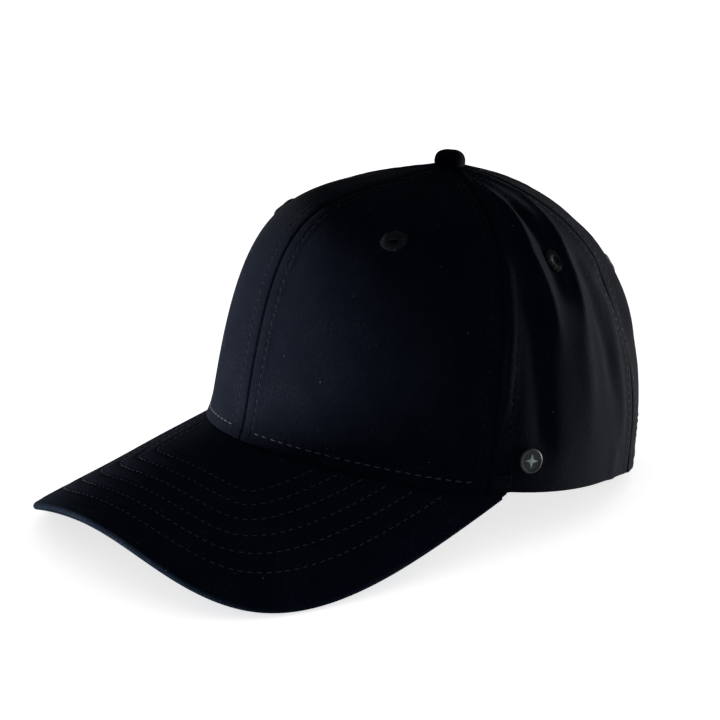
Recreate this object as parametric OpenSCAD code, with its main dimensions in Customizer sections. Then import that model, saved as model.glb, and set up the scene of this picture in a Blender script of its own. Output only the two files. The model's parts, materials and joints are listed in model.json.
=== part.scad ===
// Six-panel baseball cap with a curved visor, covered button, eyelets and a snap closure.
// Crown angles run round the vertical axis from the centre front (0) towards the wearer's
// left (90) to the centre back (180). Crown heights run from the rim (0) to the button (1).

/* [Crown] */
// Half the width of the rim, side to side
rim_half_width = 86; // [82:0.5:90]
// Distance from the crown's axis to the front of the rim
rim_front = 98; // [94:0.5:102]
// Distance from the crown's axis to the back of the rim
rim_back = 99; // [95:0.5:103]
// How much wider the front half of the rim is than the back half
rim_egg = 0.04; // [0:0.01:0.06]
// How much the rim is pulled in between its axes
rim_flat = -0.05; // [-0.06:0.01:0]
// Height of the crown from the rim to the button
crown_height = 114.5; // [108:0.5:120]
// How far the button sits behind the crown's axis (negative is forward)
apex_y = -9.5; // [-12:0.5:-4]
// How far the rim drops at the back
rear_drop = 4; // [0:0.5:5]
// How far the cap leans back when it stands on its visor and its back rim
lean = 11; // [9:0.5:13]

/* [Panels] */
// Angle of the seam between a front panel and a side panel
seam_front = 67; // [62:0.5:70]
// Thickness of the twill
cloth = 0.8; // [0.6:0.1:0.9]
// Thickness of the buckram behind the front panels
buckram_thick = 0.6; // [0.4:0.1:0.7]
// Width of the tapes over the inside seams
tape_width = 13; // [10:0.5:15]
// Thickness of the seam tapes
tape_thick = 0.5; // [0.3:0.1:0.6]

/* [Visor] */
// Length of the visor at the centre
visor_length = 69.5; // [65:0.5:74]
// Half-angle of the rim that carries the visor
visor_span = 73.5; // [70:0.5:75]
// Downward slope of the visor at the centre
visor_slope = 22.7; // [20:0.1:25]
// Radius of the visor's arch
visor_arch = 114; // [105:1:125]
// How much the arch deepens towards the front edge
visor_cone = 0.11; // [0:0.01:0.2]
// Half-width that sets how blunt the visor's front is
visor_blunt = 81.5; // [76:0.5:84]
// Half-width that sets how full the visor's sides are
visor_full = 87.5; // [85:0.5:95]
// Thickness of the visor board
board_thick = 1.6; // [1.2:0.1:2]

/* [Eyelets] */
// Outer radius of an eyelet
eyelet_outer_r = 5; // [4:0.1:5.5]
// Radius of the air hole
eyelet_hole_r = 2.2; // [1.8:0.1:2.6]
// Outer radius of the eyelet's barrel in the cloth
eyelet_barrel_r = 3; // [2.8:0.1:3.4]

/* [Button] */
// Outer radius of the covered button
button_r = 6.4; // [6:0.1:7]
// Height of the covered button above the top of the crown
button_rise = 5.4; // [4.5:0.1:6]

/* [Badge] */
// Radius of the badge
badge_r = 4.9; // [4:0.1:6]
// Angle of the badge round the crown
badge_angle = 77.5; // [76:0.5:90]

/* [Sweatband] */
// Height of the sweatband as a share of the crown
band_top = 0.14; // [0.12:0.01:0.16]
// Thickness of the sweatband face
band_thick = 0.8; // [0.6:0.1:1]

/* [Closure] */
// Half-angle of the opening at the back
opening_half_angle = 30; // [29:0.5:32]
// Height of the opening as a share of the crown
opening_top = 0.27; // [0.25:0.01:0.3]
// Width of the snap straps
strap_width = 17; // [15:0.5:18]
// Thickness of the snap straps
strap_thick = 1.4; // [1.2:0.1:1.5]
// Radius of the holes in the outer strap
strap_hole_r = 2.6; // [2.6:0.1:2.8]

/* [Hidden] */
$fn = 48;

// Crown profile: two handles for each of front, side and back, as shares of the
// distance from the axis and of the height.
low_reach = [1.007, 0.946, 1.011];
low_rise = [0.903, 0.833, 0.635];
high_reach = [0.852, 0.49, 0.696];
high_rise = [0.802, 0.93, 0.97];

// Share of the rim's pull that is given back behind the ears, and where it is
rear_fullness = 0.6;
fullness_start = 100;
fullness_turn = 40;

// Angles over which the rim levels out behind the visor, and drops at the back
level_turn = 40;
drop_start = 105;
drop_turn = 50;

// Layers, as depths below the outer face of the crown
gap = 0.3;
buckram_depth = cloth + 0.1;
front_tape_depth = buckram_depth + buckram_thick + gap;
back_tape_depth = cloth + gap;
anchor_depth = back_tape_depth + tape_thick + gap;
foam_depth = front_tape_depth + tape_thick + gap;
foam_thick = 0.7;
band_depth = foam_depth + foam_thick + 0.2;
label_depth = band_depth + band_thick + 0.4;
label_thick = 0.4;
through = 8;

// Visor layers, as depths below the top of the visor
visor_gap = 0.1;
visor_cloth = 0.7;
board_depth = visor_gap + visor_cloth + visor_gap;
under_depth = board_depth + board_thick + visor_gap;
visor_depth = under_depth + visor_cloth;
edge_depth = visor_depth / 2;
visor_end = 0.985;
board_end = 0.965;
visor_side_reach = 125;
flange_share = 0.035;

// Places
seam_back = (seam_front + 180) / 2;
front_eyelet = [31, 0.5];
side_eyelet = [92, 0.47];
back_eyelet = [152, 0.47];
badge_height = 0.045;
apex_hole_r = 3;
band_half_angle = 149;
band_bottom = 0.012;
foam_half_angle = 138.5;
foam_bottom = 0.025;
foam_top = band_top - 0.01;
label_angles = [-98, -84];
label_heights = [0.04, 0.1];
tape_bottom = 0.02;
tape_most_turn = 25;
facing_end = 4;
facing_spread = 1.2;

// Eyelets, as heights above the cloth
eyelet_fit = 0.05;
eyelet_bevel = 0.3;
eyelet_shoulder = 0.5;
eyelet_crest = 0.7;
eyelet_lip = 0.4;

// Button, as heights above the top of the crown
button_tilt = 7.3;
button_base = -0.9;
button_side = 1;
button_cloth = 0.8;
button_metal = 0.5;
button_fit = 0.05;
rivet_r = 1.3;
rivet_head_r = 4.4;
rivet_head = [1, 1.8];
rivet_tail_r = 2.2;
rivet_tail = [-5, -4.5];
button_washer_r = 5.2;
button_washer_heights = [-4.45, -3.75];

// Badge, as heights above the cloth
badge_base = 0.05;
badge_chamfer = 0.3;
badge_floor = 1;
badge_lip = 1.5;
badge_lip_width = 0.7;
badge_wall = 0.2;
badge_post_r = 0.9;
badge_post_tail = -2;
badge_washer_r = 4;
badge_washer_heights = [-1.9, -1.4];
emblem_rise = 0.35;
emblem_tip_r = 3;
emblem_waist_r = 0.95;
pin_fit = 0.1;

// Grid steps
front_columns = 10;
side_columns = 8;
back_columns = 4;
opening_columns = 6;
panel_rows = 16;
buckram_rows = 12;
tape_rows = 14;
visor_columns = 24;
band_columns = 40;
facing_columns = 22;
strap_steps = 24;

// Snap closure
strap_height_share = 0.05;
strap_lift = 6;
hinge_half_angle = opening_half_angle - 3;
knuckle_r = strap_thick / 2;
anchor_gap_angle = 0.8;
anchor_half_angle = 40;
anchor_heights = [0.03, 0.1];
snap_gap = 0.3;
snap_step = 8;
hole_count = 6;
peg_count = 6;
end_margin = 5;
peg_base_r = 2;
peg_tip_r = 1.3;
peg_height = 2.3;
jog_angle = 12;
outer_strap_end = -16;
inner_strap_end = 23;

function clamp01(u) = max(0, min(1, u));
function ease(u) = let (c = clamp01(u)) c * c * (3 - 2 * c);
function lerp(p, q, u) = p + (q - p) * u;

// Value at an angle round the crown, from its values at the front, side and back
function around(v, a) = (v[0] + 2 * v[1] + v[2]) / 4 + (v[0] - v[2]) / 2 * cos(a)
    + (v[0] - 2 * v[1] + v[2]) / 4 * cos(2 * a);

// Outline of the rim: it is pulled in between its axes, and less so at the back
function unsigned(a) = abs(a > 180 ? a - 360 : a);
function rim_pull(a) = 1
    + rim_flat * pow(sin(2 * a), 2)
        * (1 - rear_fullness * ease((unsigned(a) - fullness_start) / fullness_turn));
function rim_x(a) = rim_half_width * sin(a) * (1 + rim_egg * cos(a)) * rim_pull(a);
function rim_y(a) = -(cos(a) > 0 ? rim_front : rim_back) * cos(a) * rim_pull(a);

// Height of the visor's top face over a point in plan
function arch_drop(x) = visor_arch - sqrt(visor_arch * visor_arch - x * x);
function visor_z(x, y) = let (f = -y - rim_front)
    -tan(visor_slope) * f - (1 + visor_cone * f / visor_length) * arch_drop(x);

// Height of the rim: it follows the visor, then levels out and drops at the back
function rim_z(a) = let (b = unsigned(a), e = min(b, visor_span))
    visor_z(rim_x(e), rim_y(e)) * (1 - ease((b - visor_span) / level_turn))
    - rear_drop * ease((b - drop_start) / drop_turn);

// A point of the crown's outer face at an angle and a height share
function crown_point(a, t) = let (
    x1 = around(low_reach, a), y1 = around(low_rise, a),
    x2 = around(high_reach, a), y2 = around(high_rise, a), u = 1 - t,
    reach = u * u * u + 3 * u * u * t * x1 + 3 * u * t * t * x2,
    rise = 3 * u * u * t * y1 + 3 * u * t * t * y2 + t * t * t)
    [rim_x(a) * reach, rim_y(a) * reach + apex_y * (1 - reach),
     rim_z(a) * (1 - rise) + crown_height * rise];
function unit(v) = v / norm(v);
function crown_normal(a, t) = let (e = 0.001)
    unit(cross(crown_point(a + 0.5, t) - crown_point(a - 0.5, t),
               crown_point(a, t + e) - crown_point(a, t - e)));
function shell_point(a, t, depth) = crown_point(a, t) - depth * crown_normal(a, t);

// Height share at which the panels stop, just short of the button's rivet
function top_share(a) = 1 - apex_hole_r
    / (3 * around(high_reach, a) * norm([rim_x(a), rim_y(a) - apex_y]));

// The opening's edge: height share of the lowest cloth at an angle
function opening_share(a) = let (q = (180 - a) / opening_half_angle)
    q >= 1 ? 0 : opening_top * sqrt(1 - q * q);

// Angles of a panel's columns, evenly spaced or crowded towards the opening's corner
function spread(a, b, n) = [for (i = [0:n]) lerp(a, b, i / n)];
front_angles = spread(0, seam_front, front_columns);
side_angles = spread(seam_front, seam_back, side_columns);
corner_angle = 180 - opening_half_angle;
back_angles = concat(spread(seam_back, corner_angle, back_columns),
    [for (i = [1:opening_columns]) 180 - opening_half_angle * cos(90 * i / opening_columns)]);

// Grid of points on a panel at a depth, over its columns and a span of its rows
function panel_grid(angles, depth, row0 = 0, row1 = panel_rows) = [for (a = angles)
    [for (j = [row0:row1])
        shell_point(a, lerp(opening_share(a), top_share(a), j / panel_rows), depth)]];

// Grid of points over a rectangle of angles and height shares
function patch_grid(a0, a1, t0, t1, columns, rows, depth) = [for (i = [0:columns])
    [for (j = [0:rows]) shell_point(lerp(a0, a1, i / columns), lerp(t0, t1, j / rows), depth)]];

// Grid of points along a seam, as wide as the tape but never past the next tape
function tape_turn(a, t) = let (p = crown_point(a, t), r = norm([p[0], p[1] - apex_y * t]))
    min(tape_most_turn, asin(min(1, tape_width / 2 / r)));
function tape_grid(a, t0, depth) = [for (k = [-1:1]) [for (j = [0:tape_rows])
    let (t = lerp(t0, top_share(a) - 0.01, j / tape_rows))
        shell_point(a + k * tape_turn(a, t), t, depth)]];

// Visor outline in plan at a share s of the span (-1 right, 1 left), and points over it
function visor_edge(s) = let (a = abs(s), u = 1 - a, tip = -(rim_front + visor_length))
    [sign(s) * (3 * u * u * a * visor_blunt + 3 * u * a * a * visor_full
        + a * a * a * rim_x(visor_span)),
     (u * u * u + 3 * u * u * a) * tip - 3 * u * a * a * visor_side_reach
        + a * a * a * rim_y(visor_span)];
function visor_plan(s, v) = let (a = s * visor_span)
    lerp([rim_x(a), rim_y(a)], visor_edge(s), v);
function visor_normal(p) = let (e = 0.5)
    unit([(visor_z(p[0] - e, p[1]) - visor_z(p[0] + e, p[1])) / (2 * e),
          (visor_z(p[0], p[1] - e) - visor_z(p[0], p[1] + e)) / (2 * e), 1]);
function visor_point(s, v, depth) = let (p = visor_plan(s, v))
    [p[0], p[1], visor_z(p[0], p[1])] - depth * visor_normal(p);

// The visor's sewn edge, which lies flat under the panels
function flange_point(s, depth) = let (a = s * visor_span)
    [rim_x(a) * (1 - flange_share), rim_y(a) * (1 - flange_share), rim_z(a) - depth];
visor_rows = [0, 0.2, 0.4, 0.6, 0.8, 0.97];
function visor_shares(end) = spread(-end, end, visor_columns);
function visor_grid(end, depth, last_depth, flange = false) = [for (s = visor_shares(end))
    concat(flange ? [flange_point(s, depth)] : [],
        [for (v = visor_rows) visor_point(s, v, depth)], [visor_point(s, 1, last_depth)])];
function board_grid(depth) = [for (s = visor_shares(board_end))
    [for (v = [0.02, 0.25, 0.5, 0.75, 0.96]) visor_point(s, v, depth)]];

// Standing pose: lean back, lift to the floor and centre the footprint
function leaned(p) = [p[0], p[1] * cos(lean) + p[2] * sin(lean), p[2] * cos(lean) - p[1] * sin(lean)];
function flat_list(grid) = [for (row = grid) for (p = row) leaned(p)];
outline_points = concat(flat_list(visor_grid(visor_end, visor_depth, visor_depth)),
    flat_list(visor_grid(visor_end, visor_gap, visor_gap)), flat_list(panel_grid(back_angles, 0)));
floor_z = min([for (p = outline_points) p[2]]);
middle_y = (min([for (p = outline_points) p[1]]) + max([for (p = outline_points) p[1]])) / 2;
module standing() {
    translate([0, -middle_y, -floor_z]) rotate([-lean, 0, 0]) children();
}

// Closed sheet between an outer and an inner grid of points of the same size
module sheet(outer, inner) {
    columns = len(outer);
    rows = len(outer[0]);
    function at(i, j, face) = (face * columns + i) * rows + j;
    points = [for (side = [outer, inner]) for (column = side) for (p = column) p];
    skin = [for (i = [0:columns - 2], j = [0:rows - 2]) each [
        [at(i, j, 0), at(i, j + 1, 0), at(i + 1, j + 1, 0)],
        [at(i, j, 0), at(i + 1, j + 1, 0), at(i + 1, j, 0)],
        [at(i, j, 1), at(i + 1, j + 1, 1), at(i, j + 1, 1)],
        [at(i, j, 1), at(i + 1, j, 1), at(i + 1, j + 1, 1)]]];
    sides = [for (j = [0:rows - 2]) each [
        [at(0, j + 1, 0), at(0, j, 0), at(0, j, 1)],
        [at(0, j + 1, 0), at(0, j, 1), at(0, j + 1, 1)],
        [at(columns - 1, j, 0), at(columns - 1, j + 1, 0), at(columns - 1, j + 1, 1)],
        [at(columns - 1, j, 0), at(columns - 1, j + 1, 1), at(columns - 1, j, 1)]]];
    ends = [for (i = [0:columns - 2]) each [
        [at(i, 0, 0), at(i + 1, 0, 0), at(i + 1, 0, 1)],
        [at(i, 0, 0), at(i + 1, 0, 1), at(i, 0, 1)],
        [at(i + 1, rows - 1, 0), at(i, rows - 1, 0), at(i, rows - 1, 1)],
        [at(i + 1, rows - 1, 0), at(i, rows - 1, 1), at(i + 1, rows - 1, 1)]]];
    polyhedron(points, concat(skin, sides, ends), convexity = 6);
}

// Place children on the crown with +Z along its outward normal
module on_crown(a, t) {
    n = crown_normal(a, t);
    translate(crown_point(a, t)) rotate([0, acos(n[2]), atan2(n[1], n[0])]) children();
}
module on_side(side) {
    mirror([side < 0 ? 1 : 0, 0, 0]) children();
}
module panel(angles, eyelet) {
    difference() {
        sheet(panel_grid(angles, 0), panel_grid(angles, cloth));
        on_crown(eyelet[0], eyelet[1]) cylinder(r = eyelet_barrel_r, h = through, center = true);
    }
}

module front_panel(side) {
    color("#1b2029") standing() on_side(side) panel(front_angles, front_eyelet);
}
module side_panel(side, badge) {
    color("#1a1e27") standing() on_side(side) difference() {
        panel(side_angles, side_eyelet);
        if (badge) {
            on_crown(badge_angle, badge_height)
                cylinder(r = badge_post_r + pin_fit, h = through, center = true);
        }
    }
}
module back_panel(side) {
    color("#1b2029") standing() on_side(side) panel(back_angles, back_eyelet);
}
module buckram(side) {
    angles = [for (i = [1:front_columns - 1]) front_angles[i]];
    color("#d9d6cb") standing() on_side(side) difference() {
        sheet(panel_grid(angles, buckram_depth, 1, buckram_rows),
            panel_grid(angles, buckram_depth + buckram_thick, 1, buckram_rows));
        on_crown(front_eyelet[0], front_eyelet[1])
            cylinder(r = eyelet_hole_r, h = through, center = true);
    }
}

// Ring of thread on the cloth with a barrel through it
module eyelet(side, place) {
    barrel_r = eyelet_barrel_r - eyelet_fit;
    color("#2c323d") standing() on_side(side) on_crown(place[0], place[1]) rotate_extrude()
        polygon([[eyelet_hole_r, -cloth], [barrel_r, -cloth], [barrel_r, eyelet_fit],
            [eyelet_outer_r, eyelet_fit], [eyelet_outer_r - eyelet_bevel, eyelet_shoulder],
            [eyelet_barrel_r, eyelet_crest], [eyelet_hole_r, eyelet_lip]]);
}
module seam_tape(side, a, t0, depth) {
    color("#23272f") standing() on_side(side)
        sheet(tape_grid(a, t0, depth), tape_grid(a, t0, depth + tape_thick));
}

// Sheet over a rectangle of angles and height shares, from a depth inward
module patch(angles, heights, columns, depth, thick) {
    sheet(patch_grid(angles[0], angles[1], heights[0], heights[1], columns, 2, depth),
        patch_grid(angles[0], angles[1], heights[0], heights[1], columns, 2, depth + thick));
}
module sweatband_foam() {
    color("#3a3d42") standing() patch([-foam_half_angle, foam_half_angle], [foam_bottom, foam_top],
        band_columns, foam_depth, foam_thick);
}
module sweatband_face() {
    color("#171a21") standing() patch([-band_half_angle, band_half_angle], [band_bottom, band_top],
        band_columns, band_depth, band_thick);
}
module blank_label() {
    color("#c9c9c4") standing() patch(label_angles, label_heights, 3, label_depth, label_thick);
}

module visor_top_cover() {
    color("#1a1f28") standing() sheet(
        visor_grid(visor_end, visor_gap, visor_gap, true),
        visor_grid(visor_end, visor_gap + visor_cloth, edge_depth, true));
}
module visor_board() {
    color("#8d8f92") standing()
        sheet(board_grid(board_depth), board_grid(board_depth + board_thick));
}
module visor_under_cover() {
    color("#171b23") standing() sheet(
        visor_grid(visor_end, under_depth, edge_depth + visor_gap),
        visor_grid(visor_end, visor_depth, visor_depth));
}

// Tape that finishes the inside edge of the back opening
function facing_grid(depth) = [for (i = [0:facing_columns])
    let (f = lerp(facing_end, 180 - facing_end, i / facing_columns)) [for (k = [1, facing_spread])
        shell_point(180 - opening_half_angle * k * cos(f), opening_top * k * sin(f), depth)]];
module opening_facing() {
    color("#1c2028") standing()
        sheet(facing_grid(back_tape_depth), facing_grid(back_tape_depth + tape_thick));
}

// Half outline of a dome from its base to its top
function dome(r, base, top) = concat([[0, base], [r, base]],
    [for (b = [0:10:90]) [r * cos(b), button_side + (top - button_side) * sin(b)]]);
module dome_shell(r, top, thick) {
    rotate_extrude() difference() {
        polygon(dome(r, button_base, top));
        polygon(dome(r - thick, button_base - 1, top - thick));
    }
}
module on_apex() {
    translate([0, apex_y, crown_height]) rotate([button_tilt, 0, 0]) children();
}
module disc(r, heights) {
    translate([0, 0, heights[0]]) cylinder(r = r, h = heights[1] - heights[0]);
}
module washer(r, hole_r, heights) {
    difference() {
        disc(r, heights);
        translate([0, 0, heights[0]]) cylinder(r = hole_r, h = through, center = true);
    }
}
module button_cover() {
    color("#1c2029") standing() on_apex() dome_shell(button_r, button_rise, button_cloth);
}
module button_shell() {
    inset = button_cloth + button_fit;
    color("silver") standing() on_apex()
        dome_shell(button_r - inset, button_rise - inset, button_metal);
}
module button_rivet() {
    color("silver") standing() on_apex() {
        disc(rivet_head_r, rivet_head);
        disc(rivet_r, [rivet_tail[0], rivet_head[1]]);
        disc(rivet_tail_r, rivet_tail);
    }
}
module button_washer() {
    color("silver") standing() on_apex()
        washer(button_washer_r, rivet_r + button_fit, button_washer_heights);
}

module on_badge() {
    standing() on_crown(badge_angle, badge_height) children();
}
module badge_face() {
    lip_r = badge_r - badge_lip_width;
    color("dimgray") on_badge() rotate_extrude() polygon([
        [0, badge_base], [badge_r - badge_chamfer, badge_base],
        [badge_r, badge_base + badge_chamfer], [badge_r, badge_lip - badge_chamfer],
        [badge_r - badge_chamfer, badge_lip], [lip_r, badge_lip],
        [lip_r - badge_wall, badge_floor], [0, badge_floor]]);
}
module badge_emblem() {
    color("lightgray") on_badge() translate([0, 0, badge_floor]) linear_extrude(emblem_rise)
        polygon([for (i = [0:7])
            (i % 2 == 0 ? emblem_tip_r : emblem_waist_r) * [cos(45 * i), sin(45 * i)]]);
}
module badge_post() {
    color("gray") on_badge() disc(badge_post_r, [badge_post_tail, badge_base]);
}
module badge_washer() {
    color("gray") on_badge() washer(badge_washer_r, badge_post_r + pin_fit, badge_washer_heights);
}

// Circle in plan that the closed straps follow, through both hinges and the centre back
strap_depth = anchor_depth + knuckle_r;
hinge_point = shell_point(180 - hinge_half_angle, strap_height_share, strap_depth);
strap_back_y = shell_point(180, strap_height_share, strap_depth)[1];
strap_sag = strap_back_y - hinge_point[1];
strap_radius = (pow(hinge_point[0], 2) + pow(strap_sag, 2)) / (2 * strap_sag);
strap_centre_y = strap_back_y - strap_radius;
hinge_turn = asin(hinge_point[0] / strap_radius);
strap_low = rim_z(180) + strap_lift;
strap_middle = strap_low + strap_width / 2;

// Radius of the inner strap's middle line: it steps inward past its hinge
inner_drop = strap_thick + snap_gap;
function inner_radius(b) = strap_radius - inner_drop * ease((b + hinge_turn) / jog_angle);
function polar(r, b) = [r * sin(b), strap_centre_y + r * cos(b)];
module strap_plan(path) {
    outer = [for (q = path) polar(q[0] + strap_thick / 2, q[1])];
    inner = [for (i = [len(path) - 1:-1:0]) polar(path[i][0] - strap_thick / 2, path[i][1])];
    polygon(concat(outer, inner));
}
module strap_body(path, hinge_side) {
    translate([0, 0, strap_low]) {
        linear_extrude(strap_width) strap_plan(path);
        translate([hinge_side * hinge_point[0], hinge_point[1], 0])
            cylinder(r = knuckle_r, h = strap_width);
        translate(concat(polar(path[0][0], path[0][1]), 0)) cylinder(r = knuckle_r, h = strap_width);
    }
}

// Place children in a row along the straps from a first angle, with +Z pointing outward
snap_angle = snap_step / strap_radius * 180 / PI;
first_hole = outer_strap_end + end_margin / strap_radius * 180 / PI;
first_peg = first_hole + 4 * snap_angle;
module along_straps(first, count, direction) {
    for (i = [0:count - 1]) {
        translate([0, strap_centre_y, strap_middle])
            rotate([0, 0, -first - direction * i * snap_angle]) rotate([-90, 0, 0]) children();
    }
}
outer_path = [for (i = [0:strap_steps])
    [strap_radius, lerp(outer_strap_end, hinge_turn, i / strap_steps)]];
inner_path = [for (i = [0:strap_steps])
    let (b = lerp(inner_strap_end, -hinge_turn, i / strap_steps)) [inner_radius(b), b]];
module strap_outer() {
    color("#14161a") standing() difference() {
        strap_body(outer_path, 1);
        along_straps(first_hole, hole_count, 1) translate([0, 0, strap_radius])
            cylinder(r = strap_hole_r, h = through, center = true);
    }
}
module strap_inner() {
    color("#14161a") standing() {
        strap_body(inner_path, -1);
        along_straps(first_peg, peg_count, -1)
            translate([0, 0, strap_radius - inner_drop + knuckle_r - 0.05])
            cylinder(r1 = peg_base_r, r2 = peg_tip_r, h = peg_height);
    }
}
module strap_anchor(side) {
    angles = [180 - anchor_half_angle, 180 - hinge_half_angle - anchor_gap_angle];
    color("#14161a") standing() on_side(side)
        patch(angles, anchor_heights, 4, anchor_depth, strap_thick);
}

sides = [1, -1];
function side_name(side) = side > 0 ? "_left" : "_right";
for (side = sides) {
    front_panel(side);
    side_panel(side, side > 0);
    back_panel(side);
    buckram(side);
    eyelet(side, front_eyelet);
    eyelet(side, side_eyelet);
    eyelet(side, back_eyelet);
    seam_tape(side, seam_front, tape_bottom, front_tape_depth);
    seam_tape(side, seam_back, tape_bottom, back_tape_depth);
    strap_anchor(side);
}
seam_tape(1, 0, tape_bottom, front_tape_depth);  // tape_centre_front
seam_tape(1, 180, opening_top * facing_spread + 0.01, back_tape_depth);  // tape_centre_back
sweatband_foam();
sweatband_face();
visor_top_cover();
visor_board();
visor_under_cover();
opening_facing();
button_cover();
button_shell();
button_rivet();
button_washer();
badge_face();
badge_emblem();
badge_post();
badge_washer();
blank_label();
strap_outer();
strap_inner();
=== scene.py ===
import json
import math

import bpy
import numpy as np
from mathutils import Matrix, Vector


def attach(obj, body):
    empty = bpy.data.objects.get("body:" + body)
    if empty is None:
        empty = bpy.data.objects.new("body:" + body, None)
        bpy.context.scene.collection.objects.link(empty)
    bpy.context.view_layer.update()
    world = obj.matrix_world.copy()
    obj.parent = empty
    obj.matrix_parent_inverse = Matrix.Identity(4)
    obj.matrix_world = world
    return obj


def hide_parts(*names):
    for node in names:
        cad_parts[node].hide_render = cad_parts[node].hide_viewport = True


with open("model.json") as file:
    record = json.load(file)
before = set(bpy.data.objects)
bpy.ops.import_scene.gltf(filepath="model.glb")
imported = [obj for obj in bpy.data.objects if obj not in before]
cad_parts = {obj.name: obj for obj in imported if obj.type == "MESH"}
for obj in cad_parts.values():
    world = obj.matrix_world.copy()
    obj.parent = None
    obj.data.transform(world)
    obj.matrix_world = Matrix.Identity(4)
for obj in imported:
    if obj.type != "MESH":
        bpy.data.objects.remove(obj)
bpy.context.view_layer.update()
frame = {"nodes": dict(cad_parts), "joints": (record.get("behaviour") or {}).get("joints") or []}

# ---------------------------------------------------------------- dimensions of the part
RIM_HALF_WIDTH, RIM_FRONT, RIM_BACK = 86, 98, 99
RIM_EGG, RIM_FLAT, REAR_FULLNESS = 0.04, -0.05, 0.6
CROWN_HEIGHT, APEX_Y, REAR_DROP, LEAN = 114.5, -9.5, 4, 11
LOW_REACH, LOW_RISE = (1.007, 0.946, 1.011), (0.903, 0.833, 0.635)
HIGH_REACH, HIGH_RISE = (0.852, 0.49, 0.696), (0.802, 0.93, 0.97)
SEAM_FRONT = 67
SEAM_BACK = (SEAM_FRONT + 180) / 2
APEX_HOLE_R = 3
PANEL_LENGTH, RIM_MM_PER_DEGREE = 165, 1.45

VISOR_LENGTH, VISOR_SPAN, VISOR_SLOPE = 69.5, 73.5, 22.7
VISOR_ARCH, VISOR_CONE = 114, 0.11
VISOR_BLUNT, VISOR_FULL, VISOR_SIDE_REACH = 81.5, 87.5, 125
VISOR_GAP, VISOR_CLOTH, VISOR_THICK, VISOR_END, BOARD_THICK = 0.1, 0.7, 3.2, 0.985, 1.6
FLANGE_SHARE = 0.035

OPENING_HALF_ANGLE, OPENING_TOP = 30, 0.27
CLOTH, BUCKRAM_DEPTH, BUCKRAM_THICK = 0.8, 0.9, 0.6
FRONT_TAPE_DEPTH, BACK_TAPE_DEPTH, TAPE_THICK, TAPE_WIDTH = 1.8, 1.5, 0.5, 13
FACING_DEPTH, FACING_THICK = 1.15, 0.5
ANCHOR_DEPTH, FOAM_DEPTH, FOAM_THICK = 1.9, 2.6, 0.7
BAND_DEPTH, BAND_THICK, BAND_BOTTOM, BAND_TOP, BAND_HALF_ANGLE = 3.5, 0.8, 0.012, 0.14, 149
BAND_WIDTH, BAND_ROWS = 21, (2.6, 18.5)
FOAM_BOTTOM, FOAM_TOP, FOAM_HALF_ANGLE = 0.025, 0.13, 138.5
LABEL_DEPTH, LABEL_THICK = 4.7, 0.4

EYELETS = {"front": (31, 0.5), "side": (92, 0.47), "back": (152, 0.47)}
EYELET_R, EYELET_HOLE_R, EYELET_CUT_R, BUCKRAM_CUT_R = 5.0, 1.45, 3.0, 3.7
BADGE_R, BADGE_PLACE = 4.9, (77.5, 0.045)
BUTTON_R, BUTTON_RISE, BUTTON_TILT, BUTTON_HEM_R = 6.4, 5.4, 7.3, 5.6
TAB_PLACE, TAB_WIDTH, TAB_HEIGHT, TAB_THICK, TAB_HEM = (70.3, 0.017), 8.4, 5.6, 0.7, 1.1

STRAP_WIDTH, STRAP_THICK, STRAP_LIFT, STRAP_HEIGHT_SHARE = 17, 1.4, 6, 0.05
STRAP_HOLE_R, STRAP_CORNER_R, SNAP_STEP, SNAP_COUNT, SNAP_GAP = 2.6, 6.0, 8, 6, 0.3
FIRST_PEG_HOLE = 4
HINGE_HALF_ANGLE, OUTER_END, INNER_END, JOG_ANGLE, END_MARGIN = 27, -16, 23, 12, 5
PEG_BASE_R, PEG_TIP_R, PEG_HEIGHT = 2, 1.3, 2.3
ANCHOR_ANGLES, ANCHOR_HEIGHTS = (140, 152.2), (0.03, 0.1)

SIDES = {"left": 1, "right": -1}
rng = np.random.default_rng(7)


# ---------------------------------------------------------------- form of the cap
def sin_d(a):
    return np.sin(np.radians(a))


def cos_d(a):
    return np.cos(np.radians(a))


def ease(u):
    c = np.clip(u, 0, 1)
    return c * c * (3 - 2 * c)


def lerp(p, q, u):
    return p + (q - p) * u


def unit(v):
    return v / np.maximum(np.linalg.norm(v, axis=-1, keepdims=True), 1e-12)


def vec(*parts):
    return np.stack(np.broadcast_arrays(*parts), -1).astype(float)


def around(values, a):
    """A value at an angle, from its values at the front, at the sides and at the back."""
    front, sides, back = values
    mean, swing = (front + 2 * sides + back) / 4, (front - 2 * sides + back) / 4
    return mean + (front - back) / 2 * cos_d(a) + swing * cos_d(2 * a)


def unsigned(a):
    return np.abs(np.where(a > 180, a - 360, a))


def rim_pull(a):
    return 1 + RIM_FLAT * sin_d(2 * a) ** 2 * (1 - REAR_FULLNESS * ease((unsigned(a) - 100) / 40))


def rim_x(a):
    return RIM_HALF_WIDTH * sin_d(a) * (1 + RIM_EGG * cos_d(a)) * rim_pull(a)


def rim_y(a):
    return -np.where(cos_d(a) > 0, RIM_FRONT, RIM_BACK) * cos_d(a) * rim_pull(a)


def visor_z(x, y):
    f = -y - RIM_FRONT
    drop = VISOR_ARCH - np.sqrt(VISOR_ARCH**2 - x * x)
    return -math.tan(math.radians(VISOR_SLOPE)) * f - (1 + VISOR_CONE * f / VISOR_LENGTH) * drop


def rim_z(a):
    b = unsigned(a)
    e = np.minimum(b, VISOR_SPAN)
    return visor_z(rim_x(e), rim_y(e)) * (1 - ease((b - VISOR_SPAN) / 40)) - REAR_DROP * ease((b - 105) / 50)


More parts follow.
